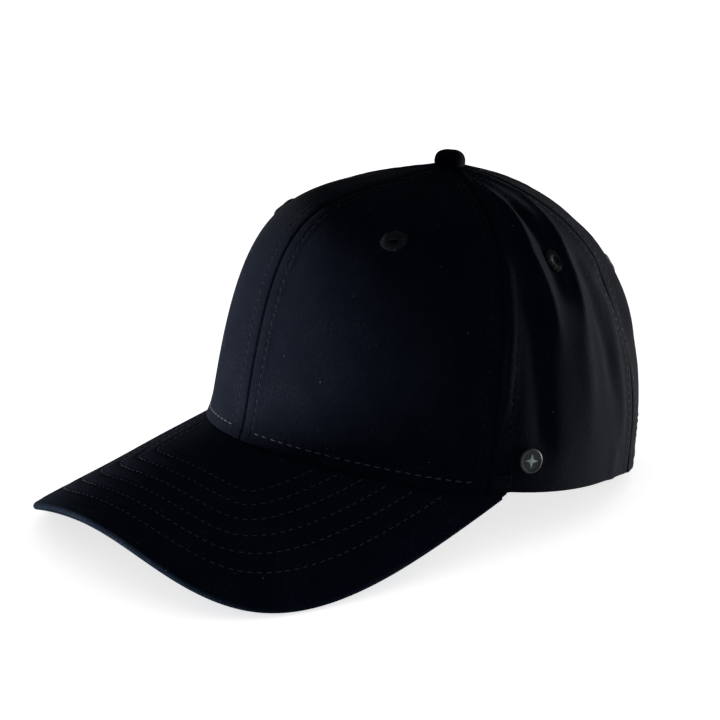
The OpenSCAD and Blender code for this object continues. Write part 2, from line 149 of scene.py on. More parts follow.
def crown_point(a, t):
    a, t = np.broadcast_arrays(np.asarray(a, float), np.asarray(t, float))
    u = 1 - t
    reach = u**3 + 3 * u * u * t * around(LOW_REACH, a) + 3 * u * t * t * around(HIGH_REACH, a)
    rise = 3 * u * u * t * around(LOW_RISE, a) + 3 * u * t * t * around(HIGH_RISE, a) + t**3
    return vec(
        rim_x(a) * reach,
        rim_y(a) * reach + APEX_Y * (1 - reach),
        rim_z(a) * (1 - rise) + CROWN_HEIGHT * rise,
    )


def one_degree(a, t):
    return crown_point(a + 0.5, t) - crown_point(a - 0.5, t)


def crown_normal(a, t):
    e = 0.001
    return unit(np.cross(one_degree(a, t), crown_point(a, t + e) - crown_point(a, t - e)))


def top_share(a):
    across = np.hypot(rim_x(a), rim_y(a) - APEX_Y)
    return 1 - APEX_HOLE_R / (3 * around(HIGH_REACH, a) * across)


def opening_share(a):
    q = np.clip((180 - unsigned(a)) / OPENING_HALF_ANGLE, 0, 1)
    return OPENING_TOP * np.sqrt(1 - q * q)


def mm_per_degree(a, t):
    return np.linalg.norm(one_degree(a, t), axis=-1)


def mm_per_share(a, t):
    return np.linalg.norm(crown_point(a, t + 0.005) - crown_point(a, t - 0.005), axis=-1) / 0.01


def leaned(p):
    c, s = cos_d(LEAN), sin_d(LEAN)
    return vec(p[..., 0], p[..., 1] * c + p[..., 2] * s, p[..., 2] * c - p[..., 1] * s)


# The straps follow a circle in plan, through both hinges and the centre back.
STRAP_DEPTH = ANCHOR_DEPTH + STRAP_THICK / 2
HINGE = crown_point(180 - HINGE_HALF_ANGLE, STRAP_HEIGHT_SHARE) - STRAP_DEPTH * crown_normal(
    180 - HINGE_HALF_ANGLE, STRAP_HEIGHT_SHARE
)
BACK_Y = (crown_point(180, STRAP_HEIGHT_SHARE) - STRAP_DEPTH * crown_normal(180, STRAP_HEIGHT_SHARE))[1]
STRAP_SAG = BACK_Y - HINGE[1]
STRAP_R = (HINGE[0] ** 2 + STRAP_SAG**2) / (2 * STRAP_SAG)
STRAP_CENTRE_Y = BACK_Y - STRAP_R
HINGE_TURN = math.degrees(math.asin(HINGE[0] / STRAP_R))
STRAP_MIDDLE = float(rim_z(np.array(180.0))) + STRAP_LIFT + STRAP_WIDTH / 2

# The outer strap's joint says where the cap's own frame stands in the row frame.
JOINTS = {j["name"]: j for j in frame["joints"]}
JOINT_PLACE = np.array(JOINTS["outer_strap_bend"]["pos_m"]) * 1000
SHIFT = JOINT_PLACE - leaned(np.array([HINGE[0], HINGE[1], STRAP_MIDDLE]))


def place(p):
    """Millimetres in the cap's frame to metres in the row frame."""
    return (leaned(p) + SHIFT) / 1000


# ---------------------------------------------------------------- relief of the sewn cloth
# Seams: angle, distance of the stitch row before and after it, height of the lip after it
SEAMS = [
    (0, 5.6, 5.6, 0.0),
    (SEAM_FRONT, 4.4, 6.3, 0.4),
    (SEAM_BACK, 5.5, 5.5, 0.1),
    (180, 5.5, 5.5, 0.0),
    (-SEAM_FRONT, 6.3, 4.4, 0.0),
    (-SEAM_BACK, 5.5, 5.5, 0.1),
]
# Folds: points as (angle, height share), height and half-width in millimetres. The two
# crests are each a wide fold with a narrow one on it.
CREST_FRONT = [(78, 0.86), (80.5, 0.66), (80.0, 0.48), (82.6, 0.38)]
CREST_BACK = [(114, 0.78), (101.5, 0.59), (97.6, 0.476), (96.6, 0.38)]
FOLDS_LEFT = [
    ([(69.4, 0.48), (69.8, 0.30), (69.2, 0.08)], 1.4, 2.4),
    ([(76.8, 0.40), (78.6, 0.2), (82.5, 0.03)], -2.4, 5.2),
    (CREST_FRONT + [(86, 0.2)], 1.3, 4.4),
    (CREST_FRONT + [(86, 0.24)], 1.0, 1.9),
    (CREST_BACK + [(95.0, 0.24), (97.5, 0.06)], 1.4, 4.8),
    (CREST_BACK + [(95.4, 0.27)], 1.0, 2.0),
    ([(90.5, 0.76), (89.0, 0.52), (89.5, 0.32)], -1.7, 3.6),
    ([(107, 0.52), (105, 0.33), (109, 0.12)], -1.6, 4.5),
    ([(114, 0.42), (112.5, 0.22), (115, 0.05)], 1.1, 4.0),
    ([(110.2, 0.06), (110.2, -0.02)], 0.7, 4.0),
    ([(118, 0.46), (126, 0.33), (136, 0.18)], -1.8, 9.0),
    ([(141, 0.62), (137, 0.42), (133, 0.2)], 1.3, 6.5),
    ([(165, 0.6), (158, 0.38)], -1.0, 6.0),
]
FOLDS_RIGHT = [
    ([(-78, 0.45), (-76, 0.10)], -1.2, 5.5),
    ([(-88, 0.68), (-87, 0.34), (-92, 0.14)], 1.5, 6.0),
    ([(-114, 0.66), (-104, 0.40), (-102, 0.12)], 1.3, 5.5),
    ([(-108, 0.50), (-111, 0.20)], -1.0, 5.0),
    ([(-140, 0.66), (-143, 0.36), (-137, 0.16)], 1.2, 6.5),
    ([(-163, 0.58), (-157, 0.36)], -0.8, 6.0),
]
HEM_HEIGHT = 4.3
OPENING_HEM = 3.2


def from_apex(a, t):
    p = crown_point(a, t)
    return np.hypot(p[..., 0], p[..., 1] - APEX_Y)


def row_gap(gap, seam, t):
    """A stitch row keeps its distance from the seam until the panels grow narrow at the top."""
    return np.minimum(gap, 0.4 * from_apex(seam, t))


def bell(d, width):
    return np.exp(-((d / width) ** 2))


def fold(p, places, height, width):
    """A soft ridge or valley along a few places on the crown, fading out at both ends."""
    places = np.array(places)
    share = np.linspace(0, 1, 50)
    knots = np.linspace(0, 1, len(places))
    line = crown_point(np.interp(share, knots, places[:, 0]), np.interp(share, knots, places[:, 1]))
    d = np.linalg.norm(p[..., None, :] - line, axis=-1)
    near = d.argmin(-1)
    return height * bell(d.min(-1), width) * ease(4 * np.minimum(share[near], 1 - share[near]) + 0.15)


def undulation(a, t):
    """Slow unevenness: slight on the stiffened front, more behind it."""
    slack = 0.16 + 0.42 * ease((unsigned(a) - 62) / 25)
    waves = sin_d(3 * a + 40) * cos_d(300 * t + 20) + 0.6 * sin_d(5 * a - 70) * sin_d(520 * t)
    ripples = 0.4 * sin_d(11 * a) * cos_d(700 * t + 4 * a) + 0.25 * sin_d(23 * a + 500 * t)
    return slack * (waves + ripples) * ease(t / 0.12) * ease((1 - t) / 0.25)


def folds(a, t):
    """How far the folded crown stands off its smooth form; every layer bends with it."""
    a, t = np.broadcast_arrays(np.asarray(a, float), np.asarray(t, float))
    p = crown_point(a, t)
    total = undulation(a, t)
    for places, height, width in FOLDS_LEFT + FOLDS_RIGHT:
        total = total + fold(p, places, height, width)
    return total


def sewn(a, t):
    """Relief of the sewing on the outer face: seams, stitch rows and the flared front hem."""
    a, t = np.broadcast_arrays(np.asarray(a, float), np.asarray(t, float))
    p = crown_point(a, t)
    total = 0.0
    for seam, gap_before, gap_after, lip in SEAMS:
        d = np.linalg.norm(p - crown_point(seam, t), axis=-1)
        turn = (a - seam + 180) % 360 - 180
        gap = row_gap(np.where(turn < 0, gap_before, gap_after), seam, t)
        along = t * mm_per_share(seam, 0.5)
        pucker = 0.09 * np.sin(along / 1.9 + seam) + 0.06 * np.sin(along / 0.83 + 2 * seam)
        total = total - 0.8 * bell(d, 0.5) - 0.14 * bell(d, 1.6) + 0.34 * (1 - ease((d - gap - 0.6) / 1.8))
        total = total - (0.3 + pucker) * bell(d - gap, 0.7) + 0.8 * pucker * bell(d - gap, 3)
        total = total + np.where(turn > 0, lip, 0) * bell(d - 2.3, 0.9)
    up = t * mm_per_share(a, 0.02)
    front = 1 - ease((unsigned(a) - 60) / 8)
    total = total + front * (1.5 * np.clip(1 - up / 11, 0, 1) ** 2 - 0.3 * bell(up - HEM_HEIGHT, 0.7))
    return total


def cloth_point(a, t, depth=0.0):
    """A point at a depth below the outer face of the sewn cloth."""
    return crown_point(a, t) + (folds(a, t) + sewn(a, t) - depth)[..., None] * crown_normal(a, t)


def lining_point(a, t, depth):
    """A point at a depth below the folded crown, without the relief of the sewing."""
    return crown_point(a, t) + (folds(a, t) - depth)[..., None] * crown_normal(a, t)


# ---------------------------------------------------------------- meshes
def signed_volume(points, faces):
    total = 0.0
    for f in faces:
        for k in range(1, f.shape[1] - 1):
            a, b, c = points[f[:, 0]], points[f[:, k]], points[f[:, k + 1]]
            total += np.einsum("ij,ij->i", a, np.cross(b, c)).sum()
    return total


def piece(name, parts, material, body="crown", sharp=50):
    """One object from closed parts, each (points, faces, weave), in the cap's frame.

    A piece that has a CAD node's name stands for that node.
    """
    points, faces, weaves, base = [], {}, [], 0
    for pts, polys, weave in parts:
        flip = signed_volume(pts - pts.mean(0), polys) < 0
        for f in polys:
            faces.setdefault(f.shape[1], []).append((f[:, ::-1] if flip else f) + base)
        points.append(pts)
        weaves.append(weave)
        base += len(pts)
    points, weaves = np.concatenate(points), np.concatenate(weaves)
    faces = [np.concatenate(f) for f in faces.values()]
    sizes = np.concatenate([np.full(len(f), f.shape[1]) for f in faces])
    corners = np.concatenate([f.ravel() for f in faces])
    mesh = bpy.data.meshes.new(name)
    mesh.vertices.add(len(points))
    mesh.vertices.foreach_set("co", place(points).astype(np.float32).ravel())
    mesh.loops.add(len(corners))
    mesh.loops.foreach_set("vertex_index", corners.astype(np.int32))
    mesh.polygons.add(len(sizes))
    mesh.polygons.foreach_set("loop_start", (np.cumsum(sizes) - sizes).astype(np.int32))
    mesh.update(calc_edges=True)
    mesh.shade_smooth()
    mesh.set_sharp_from_angle(angle=math.radians(sharp))
    weave_layer = mesh.attributes.new("weave", "FLOAT_VECTOR", "POINT")
    weave_layer.data.foreach_set("vector", weaves.astype(np.float32).ravel())
    mesh.materials.append(material)
    made = bpy.data.objects.new(name, mesh)
    bpy.context.scene.collection.objects.link(made)
    if name in frame["nodes"]:
        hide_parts(name)
    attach(made, body)
    return made


def grid(columns, rows):
    """The two coordinates of every point of a grid."""
    return np.meshgrid(columns, rows, indexing="ij")


def all_cells(points):
    return np.ones((points.shape[0] - 1, points.shape[1] - 1), bool)


def quads(a, b, c, d):
    """Faces from four arrays of corners."""
    return np.stack([a, b, c, d], -1).reshape(-1, 4)


def shell(outer, inner, keep=None, weave=None):
    """A closed sheet between two grids of points. keep marks the cells that stay."""
    m, n = outer.shape[:2]
    index = np.arange(m * n).reshape(m, n)
    keep = all_cells(index) if keep is None else keep
    skin = np.stack([index[:-1, :-1], index[1:, :-1], index[1:, 1:], index[:-1, 1:]], -1)[keep]
    faces = [skin, skin[:, ::-1] + m * n]
    wide = np.pad(keep, ((1, 1), (0, 0)))
    before, after = wide[:-1], wide[1:]
    low, high = index[:, :-1], index[:, 1:]
    faces += walls(low, high, after & ~before, m * n) + walls(high, low, before & ~after, m * n)
    tall = np.pad(keep, ((0, 0), (1, 1)))
    before, after = tall[:, :-1], tall[:, 1:]
    low, high = index[:-1, :], index[1:, :]
    faces += walls(high, low, after & ~before, m * n) + walls(low, high, before & ~after, m * n)
    points = np.concatenate([outer.reshape(-1, 3), inner.reshape(-1, 3)])
    weave = points.copy() if weave is None else np.concatenate([weave.reshape(-1, 3)] * 2)
    faces = np.concatenate(faces)
    used, faces = np.unique(faces, return_inverse=True)
    return points[used], [faces.reshape(-1, 4)], weave[used]


def walls(start, end, where, offset):
    """Quads that close a sheet's edge, between its face and the other, offset points on."""
    s, e = start[where], end[where]
    return [np.stack([s, e, e + offset, s + offset], -1)]


def roll(d, r):
    """How far a face falls towards a rounded edge of radius r, at a distance d from it."""
    q = np.clip(1 - d / r, 0, 1)
    return r * (1 - np.sqrt(1 - 0.98 * q * q))


def arc_lengths(points, axis):
    step = np.linalg.norm(np.diff(points, axis=axis), axis=-1)
    return np.concatenate([np.zeros_like(np.take(step, [0], axis)), np.cumsum(step, axis)], axis)


def flat_weave(points):
    """Thread coordinates of a grid: millimetres across from its middle column, and up from its edge."""
    across = arc_lengths(points, 0)
    across = across - across[[len(across) // 2]]
    return vec(across, arc_lengths(points, 1), np.zeros(across.shape))


def steps(length, fine, coarse, count_fine):
    """Distances from an edge: a few fine steps that grow to coarse ones."""
    first = np.cumsum(np.geomspace(fine, coarse, count_fine))
    rest = max(1, round((length - first[-1]) / coarse))
    return np.concatenate([[0], first, np.linspace(first[-1], length, rest + 1)[1:]])


def punch(u, v, keep, centre, scale, radius):
    """Cut a round hole in a grid: drop its cells and pull the edge onto the circle."""
    x, y = (u - centre[0]) * scale[0], (v - centre[1]) * scale[1]
    mid_x = (x[:-1, :-1] + x[1:, 1:]) / 2
    mid_y = (y[:-1, :-1] + y[1:, 1:]) / 2
    out = np.hypot(mid_x, mid_y) < radius
    keep = keep & ~out
    touch = np.zeros(u.shape, int)
    rim = np.zeros(u.shape, int)
    for i, j in ((0, 0), (0, 1), (1, 0), (1, 1)):
        here = (slice(i, u.shape[0] - 1 + i), slice(j, u.shape[1] - 1 + j))
        touch[here] += out
        rim[here] += ~out
    edge = (touch > 0) & (rim > 0)
    pull = np.where(edge, radius / np.maximum(np.hypot(x, y), 1e-6), 1)
    return centre[0] + x * pull / scale[0], centre[1] + y * pull / scale[1], keep


def along_path(path, normals, at):
    run = arc_lengths(path[:, None], 0)[:, 0]
    centre = np.stack([np.interp(at, run, path[:, k]) for k in range(3)], -1)
    up = np.stack([np.interp(at, run, normals[:, k]) for k in range(3)], -1)
    return centre, unit(up), run[-1]


STITCH_RINGS, STITCH_SIDES = 7, 6


def stitches(path, normals, dash=2.6, pitch=3.6, r=0.2, sink=0.35):
    """A run of thread: each stitch rises out of the cloth, lies on it and dives back in."""
    _, _, length = along_path(path, normals, np.zeros(1))
    count = max(1, int(length / pitch))
    start = (length - count * pitch) / 2 + pitch * np.arange(count) + (pitch - dash) / 2
    start = start + rng.uniform(-0.04, 0.04, count) * pitch
    long = dash * rng.uniform(0.9, 1.06, count)
    u = np.linspace(0, 1, STITCH_RINGS)
    at = start[:, None] + long[:, None] * u
    centre, up, _ = along_path(path, normals, at)
    along = unit(np.gradient(centre, axis=1))
    across = unit(np.cross(up, along))
    bow = 1 - (2 * u - 1) ** 4
    skew = rng.uniform(-0.12, 0.12, (count, 1)) * (2 * u - 1)
    centre = centre + (bow * (0.45 * r + sink) - sink)[:, None] * up + skew[..., None] * across
    girth = r * (0.5 + 0.5 * np.sqrt(bow))[:, None, None]
    phi = np.arange(STITCH_SIDES) * 2 * np.pi / STITCH_SIDES
    ring = np.cos(phi)[:, None] * across[:, :, None] * 1.15 + np.sin(phi)[:, None] * up[:, :, None] * 0.85
    points = (centre[:, :, None] + girth * ring).reshape(-1, 3)
    index = np.arange(len(points)).reshape(count, STITCH_RINGS, STITCH_SIDES)
    turned = np.roll(index, -1, 2)
    sides = quads(index[:, :-1], turned[:, :-1], turned[:, 1:], index[:, 1:])
    caps = [index[:, 0, ::-1], index[:, -1]]
    caps = np.concatenate([np.concatenate([c[:, :4], c[:, [0, 3, 4, 5]]]) for c in caps])
    weave = vec(at[..., None], phi * r, np.zeros(index.shape))
    return points, [np.concatenate([sides, caps])], weave.reshape(-1, 3)


def lathe(profile, frame_at, columns=96, wobble=None):
    """A turned solid from a closed profile of (radius, height); wobble changes it round the axis."""
    phi = np.arange(columns) * 2 * np.pi / columns
    r = np.broadcast_to(np.array(profile)[:, 0], (columns, len(profile)))
    h = np.broadcast_to(np.array(profile)[:, 1], (columns, len(profile)))
    if wobble:
        r, h = wobble(phi[:, None], r, h)
    x, y = r * np.cos(phi)[:, None], r * np.sin(phi)[:, None]
    points = frame_at(x, y, h)
    m, n = x.shape
    index = np.arange(m * n).reshape(m, n)
    right = np.roll(index, -1, 0)
    up, both = np.roll(index, -1, 1), np.roll(right, -1, 1)
    return points.reshape(-1, 3), [quads(index, right, both, up)], vec(x, y, h).reshape(-1, 3)


def on_cloth(a, t):
    """Maps local millimetres (across, up, out) to the cap, following the cloth's form there."""
    across, up = mm_per_degree(a, t), mm_per_share(a, t)
    base = cloth_point(np.array(a), np.array(t)) - crown_point(a, t)

    def mapped(x, y, h):
        here_a, here_t = a + x / across, t + y / up
        return crown_point(here_a, here_t) + base + h[..., None] * crown_normal(here_a, here_t)

    return mapped


# ---------------------------------------------------------------- materials
FIBRE_SHEEN_TINT = (0.85, 0.9, 1.0)
TWILL_PITCH = 0.95
LINT_COLOUR = (0.1, 0.1, 0.1)


class Shading:
    """A material in the making: its methods add shader nodes and return their outputs."""

    def __init__(self, name):
        self.material = bpy.data.materials.new(name)
        self.material.use_nodes = True
        self.tree = self.material.node_tree
        self.tree.nodes.clear()
        self.out = self.tree.nodes.new("ShaderNodeOutputMaterial")
        self.shader = self.tree.nodes.new("ShaderNodeBsdfPrincipled")
        self.tree.links.new(self.shader.outputs[0], self.out.inputs[0])

    def link(self, value, socket):
        if isinstance(value, bpy.types.NodeSocket):
            self.tree.links.new(value, socket)
        else:
            socket.default_value = value

    def finish(self, colour, roughness, normal, specular=0.5, sheen=None):
        """Set the shader's sockets and return the material; sheen is (weight, roughness, tint)."""
        values = {"Base Color": colour, "Roughness": roughness, "Normal": normal}
        values["Specular IOR Level"] = specular
        if sheen:
            weight, spread, tint = sheen
            values |= {"Sheen Weight": weight, "Sheen Roughness": spread, "Sheen Tint": (*tint, 1)}
        for socket, value in values.items():
            self.link(value, self.shader.inputs[socket])
        return self.material

    def math(self, operation, a, b=0.0, c=0.0):
        n = self.tree.nodes.new("ShaderNodeMath")
        n.operation = operation
        for socket, value in zip(n.inputs, (a, b, c)):
            self.link(value, socket)
        return n.outputs[0]

    def add(self, a, b):
        return self.math("ADD", a, b)

    def times(self, a, b, plus=None):
        return self.math("MULTIPLY", a, b) if plus is None else self.math("MULTIPLY_ADD", a, b, plus)

    def weave(self):
        """Thread coordinates in millimetres, as the meshes carry them."""
        n = self.tree.nodes.new("ShaderNodeAttribute")
        n.attribute_name = "weave"
        return n.outputs["Vector"]

    def place(self):
        """Object coordinates in millimetres, for pieces with no thread coordinates."""
        n = self.tree.nodes.new("ShaderNodeVectorMath")
        n.operation = "SCALE"
        n.inputs["Scale"].default_value = 1000
        self.link(self.tree.nodes.new("ShaderNodeTexCoord").outputs["Object"], n.inputs[0])
        return n.outputs[0]

    def split(self, vector):
        n = self.tree.nodes.new("ShaderNodeSeparateXYZ")
        self.link(vector, n.inputs[0])
        return n.outputs[0], n.outputs[1]

    def noise(self, vector, scale, detail=2.0, roughness=0.55):
        n = self.tree.nodes.new("ShaderNodeTexNoise")
        self.link(vector, n.inputs["Vector"])
        n.inputs["Scale"].default_value = scale
        n.inputs["Detail"].default_value = detail
        n.inputs["Roughness"].default_value = roughness
        return n.outputs[0]

    def ramp(self, value, low, high, to_low=0.0, to_high=1.0):
        n = self.tree.nodes.new("ShaderNodeMapRange")
        n.interpolation_type = "SMOOTHSTEP"
        for socket, given in zip(n.inputs[:5], (value, low, high, to_low, to_high)):
            self.link(given, socket)
        return n.outputs[0]

    def mix(self, share, a, b):
        n = self.tree.nodes.new("ShaderNodeMix")
        n.data_type = "RGBA"
        self.link(share, n.inputs[0])
        for socket, colour in ((n.inputs[6], a), (n.inputs[7], b)):
            self.link(colour if isinstance(colour, bpy.types.NodeSocket) else (*colour, 1), socket)
        return n.outputs[2]

    def wave(self, value, period):
        """A sine from 0 to 1 with a period in the value's own units."""
        return self.times(self.math("SINE", self.times(value, 2 * math.pi / period)), 0.5, 0.5)

    def bump(self, height, distance_mm, strength=1.0, under=None):
        n = self.tree.nodes.new("ShaderNodeBump")
        n.inputs["Distance"].default_value = distance_mm / 1000
        n.inputs["Strength"].default_value = strength
        self.link(height, n.inputs["Height"])
        if under is not None:
            self.link(under, n.inputs["Normal"])
        return n.outputs[0]


def twill(name, dark, light, angle, relief_mm, sheen=0.003):
    """Brushed cotton twill: steep diagonal ridges of short floats, uneven dye, fuzz and lint."""
    g = Shading(name)
    threads = g.weave()
    u, v = g.split(threads)
    slope = math.radians(angle)
    wander = g.times(g.noise(threads, 0.35, 3), 0.35)
    diagonal = g.add(g.times(v, -math.cos(slope), wander), g.times(u, math.sin(slope)))
    ridge = g.wave(diagonal, TWILL_PITCH)
    floats = g.wave(g.times(ridge, 0.25, g.add(v, g.times(u, 0.5))), 0.72 * TWILL_PITCH)
    body = g.times(floats, 0.35, g.times(ridge, 0.6))
    fibre = g.noise(threads, 2.6, 5, 0.8)
    nap = g.noise(threads, 0.8, 4, 0.75)
    mottled = g.times(g.ramp(g.noise(threads, 0.07, 4, 0.6), 0.3, 0.7), g.ramp(nap, 0.42, 0.62))
    brushed = g.times(g.times(body, 0.4, 0.3), g.ramp(fibre, 0.38, 0.66))
    cloth = g.mix(g.times(mottled, 0.5, brushed), dark, light)
    lint = g.ramp(g.noise(threads, 0.62, 1.5, 0.4), 0.775, 0.81)
    coarse = g.bump(g.noise(threads, 0.12, 3), 0.35, 0.6)
    return g.finish(
        g.mix(g.times(lint, 0.5), cloth, LINT_COLOUR),
        g.ramp(fibre, 0.3, 0.7, 0.97, 0.8),
        g.bump(g.times(nap, 2.2, g.times(fibre, 1.6, body)), relief_mm, 0.9, coarse),
        0.006,
        (sheen, 0.45, FIBRE_SHEEN_TINT),
    )


def plain_weave(name, dark, light, pitch, sheen=0.006, open_weave=False):
    """Plain cloth: warp and weft cross over and under each other."""
    g = Shading(name)
    threads = g.weave()
    u, v = g.split(threads)
    wander = g.times(g.noise(threads, 0.5, 2), 0.3)
    warp = g.wave(g.add(u, wander), pitch)
    weft = g.wave(g.add(v, wander), pitch)
    if open_weave:
        crossed = g.math("MAXIMUM", warp, weft)
    else:
        checker = g.wave(g.add(u, v), 2 * pitch)
        crossed = g.add(g.times(warp, checker), g.times(weft, g.math("SUBTRACT", 1.0, checker)))
    height = g.add(crossed, g.noise(threads, 4, 3))
    fade = g.ramp(g.noise(threads, 0.06, 3), 0.3, 0.7, 0.0, 0.35)
    colour = g.mix(g.times(height, 0.4, fade), dark, light)
    return g.finish(colour, 0.92, g.bump(height, 0.1, 0.9), 0.03, (sheen, 0.5, FIBRE_SHEEN_TINT))


def thread(name, dark, light, twist=0.55):
    """Spun thread: two plies wound round each other, with a soft gloss."""
    g = Shading(name)
    threads = g.weave()
    u, v = g.split(threads)
    ply = g.wave(g.add(u, g.times(v, 1.3)), twist)
    fuzz = g.noise(threads, 5, 3)
    colour = g.mix(g.times(fuzz, 0.5, g.times(ply, 0.5)), dark, light)
    rough = g.ramp(fuzz, 0.3, 0.7, 0.7, 0.5)
    return g.finish(colour, rough, g.bump(ply, 0.06, 0.9), 0.03, (0.006, 0.35, FIBRE_SHEEN_TINT))


def plastic(name, dark, light):
    """Moulded plastic: fine spark texture, with scuffs in its gloss."""
    g = Shading(name)
    spot = g.place()
    scuff = g.ramp(g.noise(spot, 0.35, 4, 0.7), 0.45, 0.7)
    colour = g.mix(g.times(scuff, 0.4), dark, light)
    return g.finish(colour, g.times(scuff, 0.05, 0.42), g.bump(g.noise(spot, 3.0, 3), 0.03, 0.5), 0.2)


def metal(name, dark, light, metallic, rough, gloss=0.5):
    """Stamped or painted metal: fine orange peel, and wear where noise is high."""
    g = Shading(name)
    spot = g.place()
    worn = g.ramp(g.noise(spot, 0.9, 5, 0.7), 0.5, 0.75)
    g.shader.inputs["Metallic"].default_value = metallic
    peel = g.bump(g.noise(spot, 6, 2), 0.01, 0.6)
    return g.finish(g.mix(worn, dark, light), g.times(worn, -0.1, rough), peel, gloss)


def foam(name, dark, light):
    """Open-cell foam."""
    g = Shading(name)
    cells = g.noise(g.weave(), 1.8, 4, 0.7)
    colour = g.mix(g.ramp(cells, 0.35, 0.65), dark, light)
    return g.finish(colour, 0.95, g.bump(cells, 0.25, 0.8), sheen=(0.2, 0.6, (1, 1, 1)))


CROWN_TWILL = twill("crown_twill", (0.0002, 0.0008, 0.0026), (0.0030, 0.0039, 0.0066), 64, 0.1)
# The visor's twill is the crown's own cloth with painted light: its colours are set lighter and bluer than
# the crown's to stand in for light falling on the visor.
VISOR_TWILL_PAINTED_LIGHT = twill("visor_twill", (0.0003, 0.0014, 0.0042), (0.0040, 0.0060, 0.0106), 128, 0.12, 0.001)
BUTTON_TWILL = twill("button_twill", (0.0002, 0.0004, 0.0015), (0.0012, 0.0017, 0.0034), 64, 0.06)
TAB_TWILL = twill("tab_twill", (0.0007, 0.0013, 0.0030), (0.0036, 0.0047, 0.0076), 64, 0.12)
CROWN_THREAD = thread("crown_thread", (0.0009, 0.0014, 0.0030), (0.0042, 0.0054, 0.0088))
# The visor's thread is the same dark thread as the crown's, painted several times lighter: a painted
# highlight for stitches that catch the light. The front hem row uses it too.
VISOR_THREAD_PAINTED_HIGHLIGHT = thread("visor_thread_painted_highlight", (0.0060, 0.0075, 0.0120), (0.0290, 0.0340, 0.0430))
EYELET_THREAD = thread("eyelet_thread", (0.0010, 0.0019, 0.0028), (0.0085, 0.0125, 0.0150), 0.9)
BUCKRAM = plain_weave("buckram", (0.34, 0.33, 0.29), (0.72, 0.70, 0.64), 0.9, 0.0, open_weave=True)
TAPE_CLOTH = plain_weave("seam_tape", (0.0008, 0.0011, 0.0020), (0.0050, 0.0060, 0.0085), 0.5)
BAND_CLOTH = plain_weave("band_cloth", (0.0006, 0.0008, 0.0016), (0.0036, 0.0044, 0.0066), 0.45)
FACING_CLOTH = plain_weave("facing_cloth", (0.0007, 0.0009, 0.0018), (0.0042, 0.0050, 0.0075), 0.5)
LABEL_CLOTH = plain_weave("label_cloth", (0.40, 0.40, 0.37), (0.70, 0.70, 0.66), 0.35, sheen=0.1)
BAND_FOAM = foam("band_foam", (0.008, 0.009, 0.011), (0.025, 0.027, 0.032))
SNAP_PLASTIC = plastic("snap_plastic", (0.0018, 0.0020, 0.0030), (0.0055, 0.0060, 0.0080))
BOARD_PLASTIC = plastic("visor_board", (0.22, 0.23, 0.24), (0.33, 0.34, 0.35))
HARDWARE = metal("hardware", (0.42, 0.42, 0.43), (0.62, 0.62, 0.63), 1.0, 0.38)
BADGE_METAL = metal("badge_metal", (0.017, 0.021, 0.0225), (0.031, 0.037, 0.040), 0.0, 0.5, 0.1)
EMBLEM_METAL = metal("badge_emblem", (0.13, 0.17, 0.16), (0.20, 0.24, 0.23), 0.0, 0.42, 0.2)


# ---------------------------------------------------------------- camera, lights and floor
CAMERA_AZIMUTH, CAMERA_ELEVATION, CAMERA_ROLL = 49.994, 18.049, 0.099
CAMERA_DISTANCE, CAMERA_LENS, SENSOR = 0.9688, 118.16, 36
CAMERA_CLIP = (0.05, 50)
LOOK_AT = (-0.011764, -0.018176)
LOOK_BASE = np.array([0, 15.07, 75.58]) / 1000

WHITE = (1, 1, 1, 1)
WORLD_STRENGTH, FLOOR_GLOW, FLOOR_HALF = 0.44, 0.72, 12.0
LIGHT_CENTRE = np.array([0, 0, 0.07])
# Azimuth, elevation, distance, (width, height), watts, tint. Their middles are below the
# floor's level, to stand for the light that a white floor throws up under the cap.
LIGHTS = {
    "key": (-31, -17, 1.4, (0.8, 0.3), 205, (1, 0.9, 0.76)),
    "rim": (168, -7, 1.5, (0.6, 0.3), 98, (1, 0.95, 0.88)),
    "back": (240, -6, 1.5, (0.7, 0.3), 40, (1, 1, 1)),
}


def direction(azimuth, elevation):
    """Unit vector from the cap, with azimuth 0 in front of it and 90 at the wearer's left."""
    a, e = math.radians(azimuth), math.radians(elevation)
    return np.array([math.sin(a) * math.cos(e), -math.cos(a) * math.cos(e), math.sin(e)])


def stand(name, data, at, back, roll_degrees=0.0):
    """A camera or a light at a point, looking against the direction back."""
    made = bpy.data.objects.new(name, data)
    bpy.context.scene.collection.objects.link(made)
    turned = Vector(back).to_track_quat("Z", "Y").to_matrix().to_4x4()
    rolled = turned @ Matrix.Rotation(math.radians(roll_degrees), 4, "Z")
    made.matrix_world = Matrix.Translation(Vector(at)) @ rolled
    return made


def make_camera():
    back, right = direction(CAMERA_AZIMUTH, CAMERA_ELEVATION), direction(CAMERA_AZIMUTH + 90, 0)
    target = LOOK_BASE + LOOK_AT[0] * right + LOOK_AT[1] * np.cross(back, right)
    data = bpy.data.cameras.new("camera")
    data.lens, data.sensor_width = CAMERA_LENS, SENSOR
    data.clip_start, data.clip_end = CAMERA_CLIP
    bpy.context.scene.camera = stand("camera", data, target + CAMERA_DISTANCE * back, back, CAMERA_ROLL)


